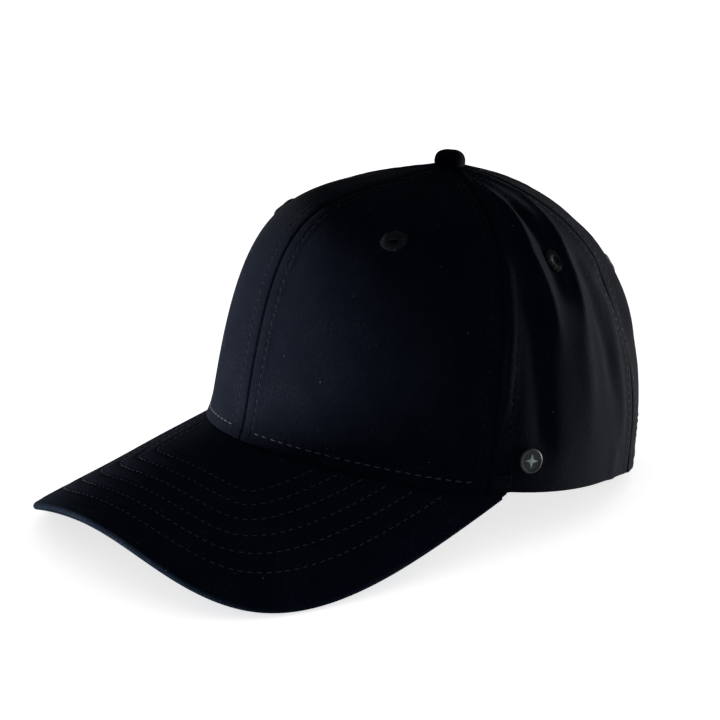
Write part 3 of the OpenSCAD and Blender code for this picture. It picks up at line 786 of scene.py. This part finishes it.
def make_floor():
    """A white sweep. Its underside is clear, so the cap can be looked at from below."""
    mesh = bpy.data.meshes.new("floor")
    h = FLOOR_HALF
    mesh.from_pydata([(-h, -h, 0), (h, -h, 0), (h, h, 0), (-h, h, 0)], [], [(0, 1, 2, 3)])
    floor = bpy.data.objects.new("floor", mesh)
    bpy.context.scene.collection.objects.link(floor)
    g = Shading("floor")
    look = {"Base Color": (0.93, 0.93, 0.935, 1), "Roughness": 0.8, "Specular IOR Level": 0.1}
    look |= {"Emission Color": WHITE, "Emission Strength": FLOOR_GLOW}
    for socket, value in look.items():
        g.link(value, g.shader.inputs[socket])
    mix = g.tree.nodes.new("ShaderNodeMixShader")
    sides = (
        g.tree.nodes.new("ShaderNodeNewGeometry").outputs["Backfacing"],
        g.shader.outputs[0],
        g.tree.nodes.new("ShaderNodeBsdfTransparent").outputs[0],
    )
    for side, socket in zip(sides, mix.inputs):
        g.link(side, socket)
    g.link(mix.outputs[0], g.out.inputs[0])
    mesh.materials.append(g.material)
    return floor


def make_studio():
    scene = bpy.context.scene
    scene.view_settings.view_transform = "Standard"
    scene.view_settings.look = "None"
    scene.world = bpy.data.worlds.new("studio")
    scene.world.use_nodes = True
    background = scene.world.node_tree.nodes["Background"]
    background.inputs["Color"].default_value = WHITE
    background.inputs["Strength"].default_value = WORLD_STRENGTH
    off_floor = bpy.data.collections.new("off_floor")
    off_floor.objects.link(make_floor())
    off_floor.collection_objects[0].light_linking.link_state = "EXCLUDE"
    for name, (azimuth, elevation, distance, size, watts, tint) in LIGHTS.items():
        data = bpy.data.lights.new(name, "AREA")
        data.shape, data.energy, data.color = "RECTANGLE", watts, tint
        data.size, data.size_y = size
        back = direction(azimuth, elevation)
        light = stand(name, data, LIGHT_CENTRE + distance * back, back)
        light.light_linking.receiver_collection = off_floor
        light.light_linking.blocker_collection = off_floor
        light.visible_camera = False
        light.visible_glossy = name != "back"


make_camera()
make_studio()


# ---------------------------------------------------------------- crown panels
SEAM_ZONE = 9.0
SEAM_STEPS = np.array(
    [0, 0.2, 0.45, 0.75, 1.1, 1.6, 2.2, 2.9, 3.5, 4.0, 4.4, 4.8, 5.3, 5.8, 6.3, 6.8, 7.5, 8.2, SEAM_ZONE]
)


def panel_columns(a0, a1, t):
    """Angles of a panel's columns on each row: at set distances from both seams, even between."""
    width = arc_lengths(crown_point(lerp(a0, a1, np.linspace(0, 1, 25))[:, None], t), 0)[-1]
    zone = np.minimum(SEAM_ZONE, 0.4 * width)
    middle = np.linspace(0, 1, 46)[1:-1]
    left = SEAM_STEPS[:, None] / SEAM_ZONE * zone
    between = zone + middle[:, None] * (width - 2 * zone)
    at = np.concatenate([left, between, width - left[::-1]])
    return a0 + (a1 - a0) * at / width


def panel_grid(a0, a1):
    """Angles and height shares of a panel's grid."""
    rows = steps(PANEL_LENGTH, 0.22, 1.35, 9) / PANEL_LENGTH
    a = panel_columns(a0, a1, np.minimum(rows, 0.97)[None, :])
    if abs(a1) == 180:
        a = opening_columns(a0, a1)[:, None] * np.ones(len(rows))
    start = opening_share(a)
    return a, start + (top_share(a) - start) * rows


def opening_columns(a0, a1):
    """Columns of a back panel: close at both seams, and crowded where the opening turns down."""
    side = 1 if a1 > 0 else -1
    corner = 180 - OPENING_HALF_ANGLE
    near = abs(a0) + SEAM_STEPS / RIM_MM_PER_DEGREE
    flat = np.linspace(near[-1], corner, 12)[1:]
    turn = 180 - OPENING_HALF_ANGLE * np.cos(np.linspace(0, np.pi / 2, 40))[1:]
    last = 180 - SEAM_STEPS[::-1] / RIM_MM_PER_DEGREE
    return side * np.concatenate([near, flat, turn[turn < last[0] - 0.2], last])


def edge_distance(a, t):
    """Distance of every grid point from the panel's lower edge."""
    p = crown_point(a, t)
    edge = p[:, 0]
    return np.stack([np.linalg.norm(p[i][:, None] - edge, axis=-1).min(-1) for i in range(len(p))])


def cut_eyelet(a, t, panel, side, radius):
    """Cut the hole for a panel's eyelet in a grid of angles and height shares."""
    centre = (side * EYELETS[panel][0], EYELETS[panel][1])
    scale = (float(mm_per_degree(*centre)), float(mm_per_share(*centre)))
    return punch(a, t, all_cells(a), centre, scale, radius)


def make_panel(panel, side_name, side, a0, a1):
    """One panel: cloth with an eyelet hole, and at the back a hemmed half of the opening."""
    a, t, keep = cut_eyelet(*panel_grid(side * a0, side * a1), panel, side, EYELET_CUT_R)
    d = edge_distance(a, t)
    fall = roll(d, 0.45)
    hem = 0.35 * (1 - ease((d - 6) / 1.5)) if a1 == 180 else 0
    stitched = 0.3 * bell(d - OPENING_HEM, 0.7) if a1 == 180 else 0
    sewing = sewn(a, t) + hem - stitched
    groove = np.clip(-sewing, 0, 0.9)
    normal = crown_normal(a, t)
    smooth = crown_point(a, t)
    folded = smooth + folds(a, t)[..., None] * normal
    outer = folded + (sewing - fall)[..., None] * normal
    inner = folded + (sewing - CLOTH + 0.5 * groove + fall * 0.8)[..., None] * normal
    part = shell(outer, inner, keep, flat_weave(smooth))
    piece(f"{panel}_panel_{side_name}", [part], CROWN_TWILL)


PANELS = {
    "front": (0, SEAM_FRONT),
    "side": (SEAM_FRONT, SEAM_BACK),
    "back": (SEAM_BACK, 180),
}
for panel, (start, end) in PANELS.items():
    for side_name, side in SIDES.items():
        make_panel(panel, side_name, side, start, end)


# ---------------------------------------------------------------- thread on the crown
def cloth_path(a, t):
    return cloth_point(a, t, -0.02), crown_normal(a, t)


def seam_row(seam, gap, t0):
    """A stitch row beside a seam, from the rim or the opening to the button."""
    t = np.linspace(t0, 1, 500)
    t = t[from_apex(seam, t) > BUTTON_R - 0.6]
    return cloth_path(seam + np.sign(gap) * row_gap(abs(gap), seam, t) / mm_per_degree(seam, t), t)


def crown_stitches():
    """Rows beside every seam, round the opening's hem, and where the closure is sewn in."""
    rows = []
    for seam, before, after, _ in SEAMS:
        t0 = OPENING_TOP + 0.025 if seam == 180 else 0.012
        for gap in (-before, after):
            rows.append(stitches(*seam_row(seam, gap, t0), dash=2.3, pitch=3.5))
    turn = np.linspace(3, 177, 400)
    wide = OPENING_HALF_ANGLE + OPENING_HEM / RIM_MM_PER_DEGREE
    tall = OPENING_TOP + OPENING_HEM / PANEL_LENGTH
    rows.append(stitches(*cloth_path(180 - wide * cos_d(turn), tall * sin_d(turn))))
    for side in SIDES.values():
        t = np.linspace(0.02, 0.105, 40)
        rows.append(stitches(*cloth_path(side * 141.5 + 0 * t, t), dash=2.2, pitch=3.0))
    return rows


def front_stitches():
    rows = []
    for low, high in ((-62, -4), (4, 63.5)):
        a = np.linspace(low, high, 300)
        path = cloth_path(a, HEM_HEIGHT / mm_per_share(a, 0.02))
        rows.append(stitches(*path, dash=2.9, pitch=4.0, r=0.24))
    return rows


# The front hem row uses the visor's thread, with its painted highlight.
piece("front_stitching", front_stitches(), VISOR_THREAD_PAINTED_HIGHLIGHT)
piece("crown_stitching", crown_stitches(), CROWN_THREAD)


# ---------------------------------------------------------------- eyelets
def make_eyelet(name, a, t):
    """A hole bound with thread: each turn of it has its own length and height."""
    threads = 46
    hole = EYELET_HOLE_R
    profile = [
        (hole + 0.5, -1.7), (hole + 0.15, -1.2), (hole, -0.6), (hole + 0.05, 0.0), (hole + 0.3, 0.42),
        (hole + 0.75, 0.6), (2.8, 0.68), (3.3, 0.64), (3.9, 0.52), (4.4, 0.36), (4.75, 0.18),
        (EYELET_R, 0.0), (4.6, -0.35), (3.2, -0.4), (2.9, -1.0), (3.6, -1.75), (3.2, -1.95),
    ]
    length = rng.uniform(-0.45, 0.3, threads + 1)
    rise = rng.uniform(0.5, 1.5, threads + 1)
    length[-1], rise[-1] = length[0], rise[0]

    def wobble(phi, r, h):
        turn = phi / (2 * np.pi) * threads
        ridge = np.abs(np.cos(np.pi * turn))
        out = np.clip((r - 3.4) / 1.4, 0, 1)
        reach = np.interp(turn, np.arange(threads + 1), length)
        proud = np.interp(turn, np.arange(threads + 1), rise) * np.clip((h + 0.3) / 0.5, 0, 1)
        return r + out * reach + 0.05 * ridge, h + 0.26 * proud * (ridge - 0.55)

    points, faces, local = lathe(profile, on_cloth(a, t), threads * 8, wobble)
    x, y, h = local.T
    weave = vec(np.arctan2(y, x) * threads / (2 * np.pi) * 0.9, np.hypot(x, y), h)
    piece(name, [(points, faces, weave)], EYELET_THREAD)


for panel, (angle, share) in EYELETS.items():
    for side_name, side in SIDES.items():
        make_eyelet(f"eyelet_{panel}_{side_name}", side * angle, share)


# ---------------------------------------------------------------- visor
STITCH_ROWS = [12, 19, 26, 33, 40, 47]


def visor_edge(s):
    a = np.abs(s)
    u = 1 - a
    tip = -(RIM_FRONT + VISOR_LENGTH)
    x = 3 * u * u * a * VISOR_BLUNT + 3 * u * a * a * VISOR_FULL + a**3 * rim_x(np.array(VISOR_SPAN))
    y = (u**3 + 3 * u * u * a) * tip - 3 * u * a * a * VISOR_SIDE_REACH + a**3 * rim_y(np.array(VISOR_SPAN))
    return np.stack([np.sign(s) * x, y], -1)


def edge_inward(s):
    """Unit vector in plan from the visor's outline towards the crown."""
    e = 1e-3
    along = unit(visor_edge(np.clip(s + e, -1, 1)) - visor_edge(np.clip(s - e, -1, 1)))
    return np.stack([-along[..., 1], along[..., 0]], -1)


def visor_normal(p):
    e = 0.5
    x, y = p[..., 0], p[..., 1]
    slope_x = (visor_z(x - e, y) - visor_z(x + e, y)) / (2 * e)
    slope_y = (visor_z(x, y - e) - visor_z(x, y + e)) / (2 * e)
    return unit(vec(slope_x, slope_y, 1.0))


OUTLINE = visor_edge(np.linspace(-1, 1, 900))


def from_outline(p):
    flat = p.reshape(-1, 2)
    chunks = np.array_split(flat, 24)
    near = [np.linalg.norm(chunk[:, None] - OUTLINE, axis=-1).min(-1) for chunk in chunks]
    return np.concatenate(near).reshape(p.shape[:-1])


def from_rim(p):
    """How far a point in plan lies outside the rim."""
    a = np.linspace(-110, 110, 400)
    turn = np.degrees(np.arctan2(rim_x(a), -rim_y(a)))
    reach = np.interp(np.degrees(np.arctan2(p[..., 0], -p[..., 1])), turn, np.hypot(rim_x(a), rim_y(a)))
    return np.hypot(p[..., 0], p[..., 1]) - reach


def quilting(p):
    """Relief of the visor's cloth: dips under the stitch rows, and puffs between them."""
    d = from_outline(p)
    inner = ease((from_rim(p) - 1) / 3)
    dips = sum(bell(d - row, 0.85) for row in STITCH_ROWS)
    pucker = 0.05 * np.sin(p[..., 0] / 2.1) + 0.05 * np.sin(p[..., 1] / 1.7 + 1)
    puff = ease((d - 2) / 3) * (1 - ease((d - STITCH_ROWS[-1]) / 4))
    uneven = 0.1 * sin_d(p[..., 0] * 5 + 20) * sin_d(p[..., 1] * 7)
    return inner * (0.2 * puff - (0.36 + pucker) * dips) + uneven


def visor_surface(p, depth, relief=1.0):
    lift = relief * quilting(p) - depth
    return vec(p[..., 0], p[..., 1], visor_z(p[..., 0], p[..., 1])) + lift[..., None] * visor_normal(p)


def visor_thickness(s):
    """The visor is full in the middle and pressed thin at its ends, where it is sewn in."""
    return VISOR_THICK * (1 - 0.62 * ease((np.abs(s) - 0.74) / 0.22))


def visor_face(s, v, turn, thick, top):
    """Grid of one face of a cover: rows over the visor, then rows round its rolled edge."""
    a = s * VISOR_SPAN
    rim, edge, inward = np.stack([rim_x(a), rim_y(a)], -1), visor_edge(s), edge_inward(s)
    width = np.linalg.norm(edge - rim, axis=-1)
    full = visor_thickness(s)[:, None]
    r = np.minimum(full / 2, 0.45 * width[:, None])
    inset = edge + inward * r
    flat = lerp(rim[:, None], inset[:, None], v[None, :, None])
    across = r * (1 - np.minimum(thick / full * 2, 0.9))
    down = np.maximum(full / 2 - thick, 0.05) * (1 - np.cos(turn))
    out = inset[:, None] - inward[:, None] * (across * np.sin(turn))[..., None]
    plan = np.concatenate([flat, out], 1)
    fall = np.concatenate([np.zeros(flat.shape[:2]), down], 1)
    depth = VISOR_GAP + thick + fall
    if not top:
        depth = VISOR_GAP + full - thick - fall
    return visor_surface(plan, depth, 1.0 if top else -1.0), plan


def visor_cover(name, top):
    """The cloth on one side of the visor: its rolled edge, and a flange under the rim."""
    span = np.linspace(-1, 1, 301) * np.pi / 2 * 0.985
    s = VISOR_END * np.sin(span) / np.sin(span[-1])
    v = np.linspace(0, 1, 64)
    turn = np.linspace(0, np.pi / 2, 9)[1:] * 0.97
    outer, plan = visor_face(s, v, turn, 0.0, top)
    inner, _ = visor_face(s, v, turn, VISOR_CLOTH, top)
    a = s * VISOR_SPAN
    low = 0 if top else VISOR_CLOTH + 0.05
    under = vec(rim_x(a) * (1 - FLANGE_SHARE), rim_y(a) * (1 - FLANGE_SHARE), rim_z(a) - VISOR_GAP - low)
    drop = np.array([0, 0, VISOR_CLOTH])
    first, second = (under, under - drop) if top else (under - drop, under)
    outer = np.concatenate([first[:, None], outer], 1)
    inner = np.concatenate([second[:, None], inner], 1)
    plan = np.concatenate([plan[:, :1], plan], 1)
    weave = vec(plan[..., 0], plan[..., 1], 0.0)
    piece(name, [shell(outer, inner, weave=weave)], VISOR_TWILL_PAINTED_LIGHT)


def visor_rows(top):
    """The stitch rows on one side: they follow the outline at even distances."""
    rows = []
    s, half = np.linspace(-1, 1, 900), np.linspace(0, VISOR_END, 100)
    side = 1 if top else -1
    for d in STITCH_ROWS:
        p = visor_edge(s) + d * edge_inward(s)
        p = p[(from_rim(p) > 1.2) & (from_outline(p) > d - 0.4)]
        under = np.interp(np.abs(p[:, 0]), np.abs(visor_edge(half)[:, 0]), visor_thickness(half))
        path = visor_surface(p, VISOR_GAP - 0.02 if top else VISOR_GAP + under + 0.02, side)
        rows.append(stitches(path, side * visor_normal(p)))
    return rows


def make_board():
    """The stiffener between the covers, cut short of the edge and of the thin ends."""
    s, v = grid(0.8 * np.linspace(-1, 1, 161), np.linspace(0.01, 1, 40))
    a = s * VISOR_SPAN
    rim, edge = vec(rim_x(a), rim_y(a)), visor_edge(s) + 3.0 * edge_inward(s)
    plan = lerp(rim, edge, v[..., None])
    thin = 0.35 * (np.abs(s) > 0.795) + 0.35 * (v > 0.99)
    room = visor_thickness(s) - 2 * VISOR_CLOTH - 0.2
    depth = VISOR_GAP + VISOR_CLOTH + 0.1
    top = visor_surface(plan, depth + thin, 0.0)
    low = visor_surface(plan, depth + np.minimum(room, BOARD_THICK) - thin, 0.0)
    piece("visor_board", [shell(top, low)], BOARD_PLASTIC)


make_board()
visor_cover("visor_top_cover", True)
visor_cover("visor_under_cover", False)
# The visor's stitch rows use the thread with the painted highlight.
piece("visor_stitching_top", visor_rows(True), VISOR_THREAD_PAINTED_HIGHLIGHT)
piece("visor_stitching_under", visor_rows(False), VISOR_THREAD_PAINTED_HIGHLIGHT)


# ---------------------------------------------------------------- button
def on_apex(x, y, h):
    """Maps the button's own millimetres to the cap, tilted on the crown's top."""
    c, s = cos_d(BUTTON_TILT), sin_d(BUTTON_TILT)
    return vec(x, APEX_Y + y * c - h * s, CROWN_HEIGHT + y * s + h * c)


def button_profile():
    """Closed outline of the covered button: a squarish dome with its cloth tucked under."""
    q = np.linspace(0, np.pi / 2, 26)
    dome = np.stack([BUTTON_R * np.cos(q) ** 0.55, 0.4 + (BUTTON_RISE - 0.4) * np.sin(q) ** 0.85], -1)
    tuck = [(5.75, -1.15), (6.1, -0.8), (6.32, -0.1)]
    inside = [(0.02, BUTTON_RISE - 0.8), (3.4, BUTTON_RISE - 1.1), (5.3, 2.6)]
    inside += [(BUTTON_HEM_R, 0.2), (BUTTON_HEM_R, -0.9)]
    dome[-1, 0] = 0.02
    return np.concatenate([tuck, dome, inside])


def cloth_under_button():
    """Height of the sewn cloth round the button's hem, in the button's own frame, by turn."""
    a = np.arange(-180, 181, 6.0)
    share = np.linspace(0.9, 0.999, 200)
    reach = from_apex(a[:, None], share)
    t = np.array([np.interp(-BUTTON_HEM_R, -r, share) for r in reach])
    p = cloth_point(a, t) - np.array([0, APEX_Y, CROWN_HEIGHT])
    turn = np.arctan2(p[:, 1], p[:, 0])
    order = np.argsort(turn)
    return turn[order], (p[:, 2] * cos_d(BUTTON_TILT) - p[:, 1] * sin_d(BUTTON_TILT))[order]


HEM_TURN, HEM_LEVEL = cloth_under_button()


def button_wobble(phi, r, h):
    """Pleats under the button, a hem that meets the cloth, and a slightly uneven dome."""
    tuck = np.clip((1.2 - h) / 2.0, 0, 1) * np.clip((r - 4.5) / 1.5, 0, 1)
    pleats = 0.1 * np.abs(np.sin(9 * phi)) * tuck
    level = np.interp((phi + np.pi) % (2 * np.pi) - np.pi, HEM_TURN, HEM_LEVEL, period=2 * np.pi) + 0.05
    drop = np.minimum(level + 1.1, 0) * np.clip((0.9 - h) / 1.6, 0, 1)
    return r - pleats, h + drop + 0.05 * np.sin(5 * phi) * np.clip(h / 5, 0, 1) * np.clip(r / 3, 0, 1)


button = lathe(button_profile(), on_apex, 144, button_wobble)
piece("button_cover", [button], BUTTON_TWILL)


# ---------------------------------------------------------------- badge
def make_badge():
    """A dished disc with a rolled rim, and a raised four-point star on it."""
    mapped = on_cloth(*BADGE_PLACE)
    profile = [
        (0.01, 0.05), (4.5, 0.05), (4.78, 0.12), (BADGE_R, 0.32), (BADGE_R, 1.05), (4.84, 1.26), (4.68, 1.4),
        (4.45, 1.46), (4.2, 1.42), (4.08, 1.3), (4.0, 1.08), (3.88, 1.0), (3.6, 1.02), (0.01, 1.08),
    ]
    piece("badge_face", [lathe(profile, mapped, 128)], BADGE_METAL, sharp=60)
    corner = np.arange(8)
    reach = np.where(corner % 2, 0.95, 3.0)
    x, y = reach * cos_d(45 * corner + 90), reach * sin_d(45 * corner + 90)
    rings = [(1.0, 0.98), (1.0, 1.22), (0.9, 1.34), (0.45, 1.42)]
    star = np.stack([vec(x * k, y * k, h) for k, h in rings], 1)
    index = np.arange(32).reshape(8, 4)
    right = np.roll(index, -1, 0)
    sides = quads(index[:, :-1], right[:, :-1], right[:, 1:], index[:, 1:])
    points = mapped(star[..., 0], star[..., 1], star[..., 2]).reshape(-1, 3)
    caps = np.stack([index[::-1, 0], index[:, -1]])
    emblem = (points, [sides, caps], star.reshape(-1, 3))
    piece("badge_emblem", [emblem], EMBLEM_METAL, sharp=25)


make_badge()


# ---------------------------------------------------------------- linings
def lining(a, t, depth, inner_depth, keep=None):
    """A sheet inside the crown between two depths, and the points of its inner face."""
    face = lining_point(a, t, inner_depth)
    return shell(lining_point(a, t, depth), face, keep, flat_weave(crown_point(a, t))), face


def inner_sheet(a, t, depth, thick, edge=0.2):
    """A sheet inside the crown over a grid of angles and shares, with its border thinned."""
    border = np.ones(a.shape)
    border[1:-1, 1:-1] = 0
    thin = border * edge * thick
    return lining(a, t, depth + thin, depth + thick - thin)[0]


def bordered(count, length, fine=0.3):
    """Shares from 0 to 1 with one fine step at each end."""
    e = fine / length
    return np.concatenate([[0], np.linspace(e, 1 - e, count), [1]])


def make_buckram(side_name, side):
    """The open-weave stiffener behind a front panel, clear of the seams and cut for the eyelet."""
    q, w = grid(bordered(48, 85), bordered(60, 125))
    a = side * SEAM_FRONT * lerp(0.1, 0.9, q)
    t = top_share(a) * lerp(1 / 16, 0.75, w)
    a, t, keep = cut_eyelet(a, t, "front", side, BUCKRAM_CUT_R)
    part, _ = lining(a, t, BUCKRAM_DEPTH, BUCKRAM_DEPTH + BUCKRAM_THICK, keep)
    piece(f"buckram_{side_name}", [part], BUCKRAM)


def make_tape(name, seam, t0, depth):
    """A tape over the inside of a seam, bowed over the seam allowances and sewn at both edges."""
    k, w = grid(lerp(-1, 1, bordered(13, TAPE_WIDTH)), bordered(110, 150))
    t = lerp(t0, top_share(np.array(float(seam))) - 0.012, w)
    half = np.minimum(TAPE_WIDTH / 2, 0.5 * from_apex(seam, t))
    a = seam + k * half / mm_per_degree(seam, t)
    bow = 0.35 * (1 - k**4) + 0.08 * np.sin(w * 70 + seam) * k * k
    thin = np.where(np.abs(k) > 0.97, 0.12, 0)
    part, face = lining(a, t, depth + bow + thin, depth + bow + TAPE_THICK - thin)
    piece(name, [part], TAPE_CLOTH)
    sewn_part = (slice(None), slice(2, -6))
    face, normal = face[sewn_part], crown_normal(a, t)[sewn_part]
    return [stitches(face[i], -normal[i], dash=2.4, pitch=3.4) for i in (2, -3)]


def make_tapes():
    rows = make_tape("tape_centre_front", 0, 0.02, FRONT_TAPE_DEPTH)
    rows += make_tape("tape_centre_back", 180, OPENING_TOP * 1.2 + 0.01, BACK_TAPE_DEPTH)
    for side_name, side in SIDES.items():
        rows += make_tape(f"tape_side_front_{side_name}", side * SEAM_FRONT, 0.02, FRONT_TAPE_DEPTH)
        rows += make_tape(f"tape_side_back_{side_name}", side * SEAM_BACK, 0.02, BACK_TAPE_DEPTH)
    piece("tape_stitching", rows, CROWN_THREAD)


def make_facing():
    f, k = grid(lerp(4, 176, bordered(120, 130)), bordered(10, 8))
    spread = lerp(1, 1.2, k)
    a, t = 180 - OPENING_HALF_ANGLE * spread * cos_d(f), OPENING_TOP * spread * sin_d(f)
    part = inner_sheet(a, t, FACING_DEPTH, FACING_THICK, 0.25)
    piece("opening_facing", [part], FACING_CLOTH)


def make_foam():
    q, w = grid(lerp(-1, 1, bordered(200, 430)), bordered(10, 16))
    a, t = FOAM_HALF_ANGLE * q, lerp(FOAM_BOTTOM, FOAM_TOP, w)
    part = inner_sheet(a, t, FOAM_DEPTH, FOAM_THICK, 0.3)
    piece("sweatband_foam", [part], BAND_FOAM)


def make_sweatband():
    """The band: its lower edge turns out to the rim where it is sewn, and it ripples a little."""
    q, w = grid(lerp(-1, 1, bordered(260, 460)), bordered(22, BAND_WIDTH))
    a, t = BAND_HALF_ANGLE * q, lerp(BAND_BOTTOM, BAND_TOP, w)
    up = w * BAND_WIDTH
    ripple = 0.16 * sin_d(a * 9 + 30) * ease(up / 8) + 0.1 * sin_d(a * 31) * bell(up - 3, 2)
    turned = 1.5 * (1 - ease(up / 4.5))
    dip = 0.2 * bell(up - BAND_ROWS[0], 0.6) + 0.18 * bell(up - BAND_ROWS[1], 0.6)
    depth = BAND_DEPTH - turned + ripple
    fall = roll(np.minimum(up, BAND_WIDTH - up), 0.38)
    part, face = lining(a, t, depth + fall, depth + BAND_THICK - fall - dip)
    piece("sweatband_face", [part], BAND_CLOTH)
    normal = crown_normal(a, t)
    rows = []
    for height in BAND_ROWS:
        j = int(np.abs(up[0] - height).argmin())
        rows.append(stitches(face[2:-2, j], -normal[2:-2, j], r=0.22))
    piece("sweatband_stitching", rows, CROWN_THREAD)


def make_label():
    """A blank woven label on the sweatband, sewn at both ends."""
    q, w = grid(bordered(30, 20, 0.4), bordered(16, 10, 0.4))
    a, t = lerp(-98, -84, q), lerp(0.04, 0.1, w)
    swell = 0.25 * np.sin(np.pi * q) * np.sin(np.pi * w)
    part, face = lining(a, t, LABEL_DEPTH + 0.02 * q, LABEL_DEPTH + LABEL_THICK + swell)
    piece("blank_label", [part], LABEL_CLOTH)
    normal = crown_normal(a, t)
    rows = [stitches(face[i, 1:-1], -normal[i, 1:-1], dash=1.6, pitch=2.4, r=0.16) for i in (2, -3)]
    piece("label_stitching", rows, CROWN_THREAD)


for side_name, side in SIDES.items():
    make_buckram(side_name, side)
make_tapes()
make_facing()
make_foam()
make_sweatband()
make_label()


# ---------------------------------------------------------------- cloth tabs at the side seams
def make_tab(side_name, side):
    """The small patch that covers the visor's end at the foot of the side seam."""
    angle, share = side * TAB_PLACE[0], TAB_PLACE[1]
    mapped = on_cloth(angle, share)
    q, w = grid(lerp(-1, 1, bordered(26, TAB_WIDTH)), lerp(-1, 1, bordered(20, TAB_HEIGHT)))
    x, y = q * TAB_WIDTH / 2 * side, w * TAB_HEIGHT / 2
    d = np.minimum((1 - np.abs(q)) * TAB_WIDTH / 2, (1 - np.abs(w)) * TAB_HEIGHT / 2)
    crumple = 0.06 * np.sin(x * 1.7 + y) + 0.05 * np.sin(y * 2.3 - x)
    h = 0.12 + TAB_THICK - roll(d, 0.4) + crumple - 0.2 * bell(y - TAB_HEIGHT / 2 + TAB_HEM, 0.45)
    part = shell(mapped(x, y, h), mapped(x, y, 0 * x - 0.5), weave=vec(x, y, 0 * x))
    piece(f"seam_tab_{side_name}", [part], TAB_TWILL)
    line = np.linspace(-0.42, 0.42, 20) * TAB_WIDTH
    path = mapped(line, 0 * line + TAB_HEIGHT / 2 - TAB_HEM, 0 * line + 0.65)
    row = stitches(path, crown_normal(angle + 0 * line, share + 0 * line), dash=1.3, pitch=1.9, r=0.22)
    piece(f"seam_tab_stitches_{side_name}", [row], CROWN_THREAD)


for side_name, side in SIDES.items():
    make_tab(side_name, side)


# ---------------------------------------------------------------- snap closure
def polar(r, b, z):
    """A point by its distance and angle from the middle of the straps' circle."""
    return vec(r * sin_d(b), STRAP_CENTRE_Y + r * cos_d(b), z)


def strap_part(first, last, radius_at, holes):
    """A moulded strap along the closure's circle: rounded end at last, holes at the given angles."""
    length = abs(last - first) / 180 * np.pi * STRAP_R
    run = bordered(int(length / 0.7), length, 0.25)
    q, w = grid(run, lerp(-1, 1, bordered(26, STRAP_WIDTH, 0.25)))
    to_end = np.clip((1 - q) * length / STRAP_CORNER_R, 0, 1)
    half = STRAP_WIDTH / 2 - STRAP_CORNER_R * (1 - np.sqrt(1 - (1 - to_end) ** 2 * 0.999))
    b, z = lerp(first, last, q), w * half
    keep = all_cells(b)
    scale = (np.pi / 180 * STRAP_R, 1.0)
    for at in holes:
        b, z, keep = punch(b, z, keep, (at, 0.0), scale, STRAP_HOLE_R)
    d = np.minimum(half - np.abs(z), (1 - q) * length)
    fall = roll(d, 0.35)
    rib = 0.0 if len(holes) else 0.12 * ease((1.4 - d) / 0.5)
    outer = polar(radius_at(b) + STRAP_THICK / 2 - fall - rib, b, STRAP_MIDDLE + z)
    inner = polar(radius_at(b) - STRAP_THICK / 2 + fall, b, STRAP_MIDDLE + z)
    return shell(outer, inner, keep)


def knuckle(side):
    """The live hinge: a thin upright roll where the strap meets its anchor."""
    r = STRAP_THICK / 2 - 0.05
    h = STRAP_WIDTH / 2
    upper = [(r, h - 0.4), (r * 0.7, h - 0.1), (0.01, h - 0.1)]
    profile = [(x, -z) for x, z in upper[::-1]] + upper

    def at(x, y, z):
        return vec(side * HINGE[0] + x, HINGE[1] + y, STRAP_MIDDLE + z)

    return lathe(profile, at, 24)


def peg(b, r):
    """A peg at an angle on the inner strap: a waisted stem under a rounded head."""
    profile = [
        (0.01, -0.3), (PEG_BASE_R, -0.3), (PEG_BASE_R, 0.1), (1.75, 0.5), (1.75, 1.2), (1.95, 1.6),
        (1.85, 2.0), (PEG_TIP_R, PEG_HEIGHT - 0.02), (0.6, PEG_HEIGHT + 0.1), (0.01, PEG_HEIGHT + 0.12),
    ]
    out, along = np.array([sin_d(b), cos_d(b), 0]), np.array([cos_d(b), -sin_d(b), 0])
    base = polar(r, b, STRAP_MIDDLE)

    def at(x, y, h):
        return base + x[..., None] * along + y[..., None] * np.array([0, 0, 1.0]) + h[..., None] * out

    return lathe(profile, at, 40)


def inner_radius(b):
    """The inner strap steps in from its hinge, to lie behind the outer one."""
    return STRAP_R - (STRAP_THICK + SNAP_GAP) * ease((b + HINGE_TURN) / JOG_ANGLE)


def make_straps():
    turn = 180 / np.pi / STRAP_R
    first_hole = OUTER_END + END_MARGIN * turn
    holes = first_hole + SNAP_STEP * turn * np.arange(SNAP_COUNT)
    pegs = first_hole + SNAP_STEP * turn * (FIRST_PEG_HOLE - np.arange(SNAP_COUNT))
    outer = [strap_part(HINGE_TURN, OUTER_END, lambda b: STRAP_R + 0 * b, holes), knuckle(1)]
    inner = [strap_part(-HINGE_TURN, INNER_END, inner_radius, ()), knuckle(-1)]
    inner += [peg(b, float(inner_radius(np.array(b))) + STRAP_THICK / 2) for b in pegs]
    piece("strap_outer", outer, SNAP_PLASTIC, "outer_strap", sharp=40)
    piece("strap_inner", inner, SNAP_PLASTIC, "inner_strap", sharp=40)


def make_anchor(side_name, side):
    q, w = grid(bordered(20, 20), bordered(16, 11))
    a, t = side * lerp(*ANCHOR_ANGLES, q), lerp(*ANCHOR_HEIGHTS, w)
    part = inner_sheet(a, t, ANCHOR_DEPTH, STRAP_THICK)
    piece(f"strap_anchor_{side_name}", [part], SNAP_PLASTIC)


make_straps()
for side_name, side in SIDES.items():
    make_anchor(side_name, side)


# ---------------------------------------------------------------- finishes of the CAD pieces
for node in ("button_shell", "button_rivet", "button_washer", "badge_post", "badge_washer"):
    materials = frame["nodes"][node].data.materials
    if not materials:
        materials.append(HARDWARE)
    for i in range(len(materials)):
        materials[i] = HARDWARE
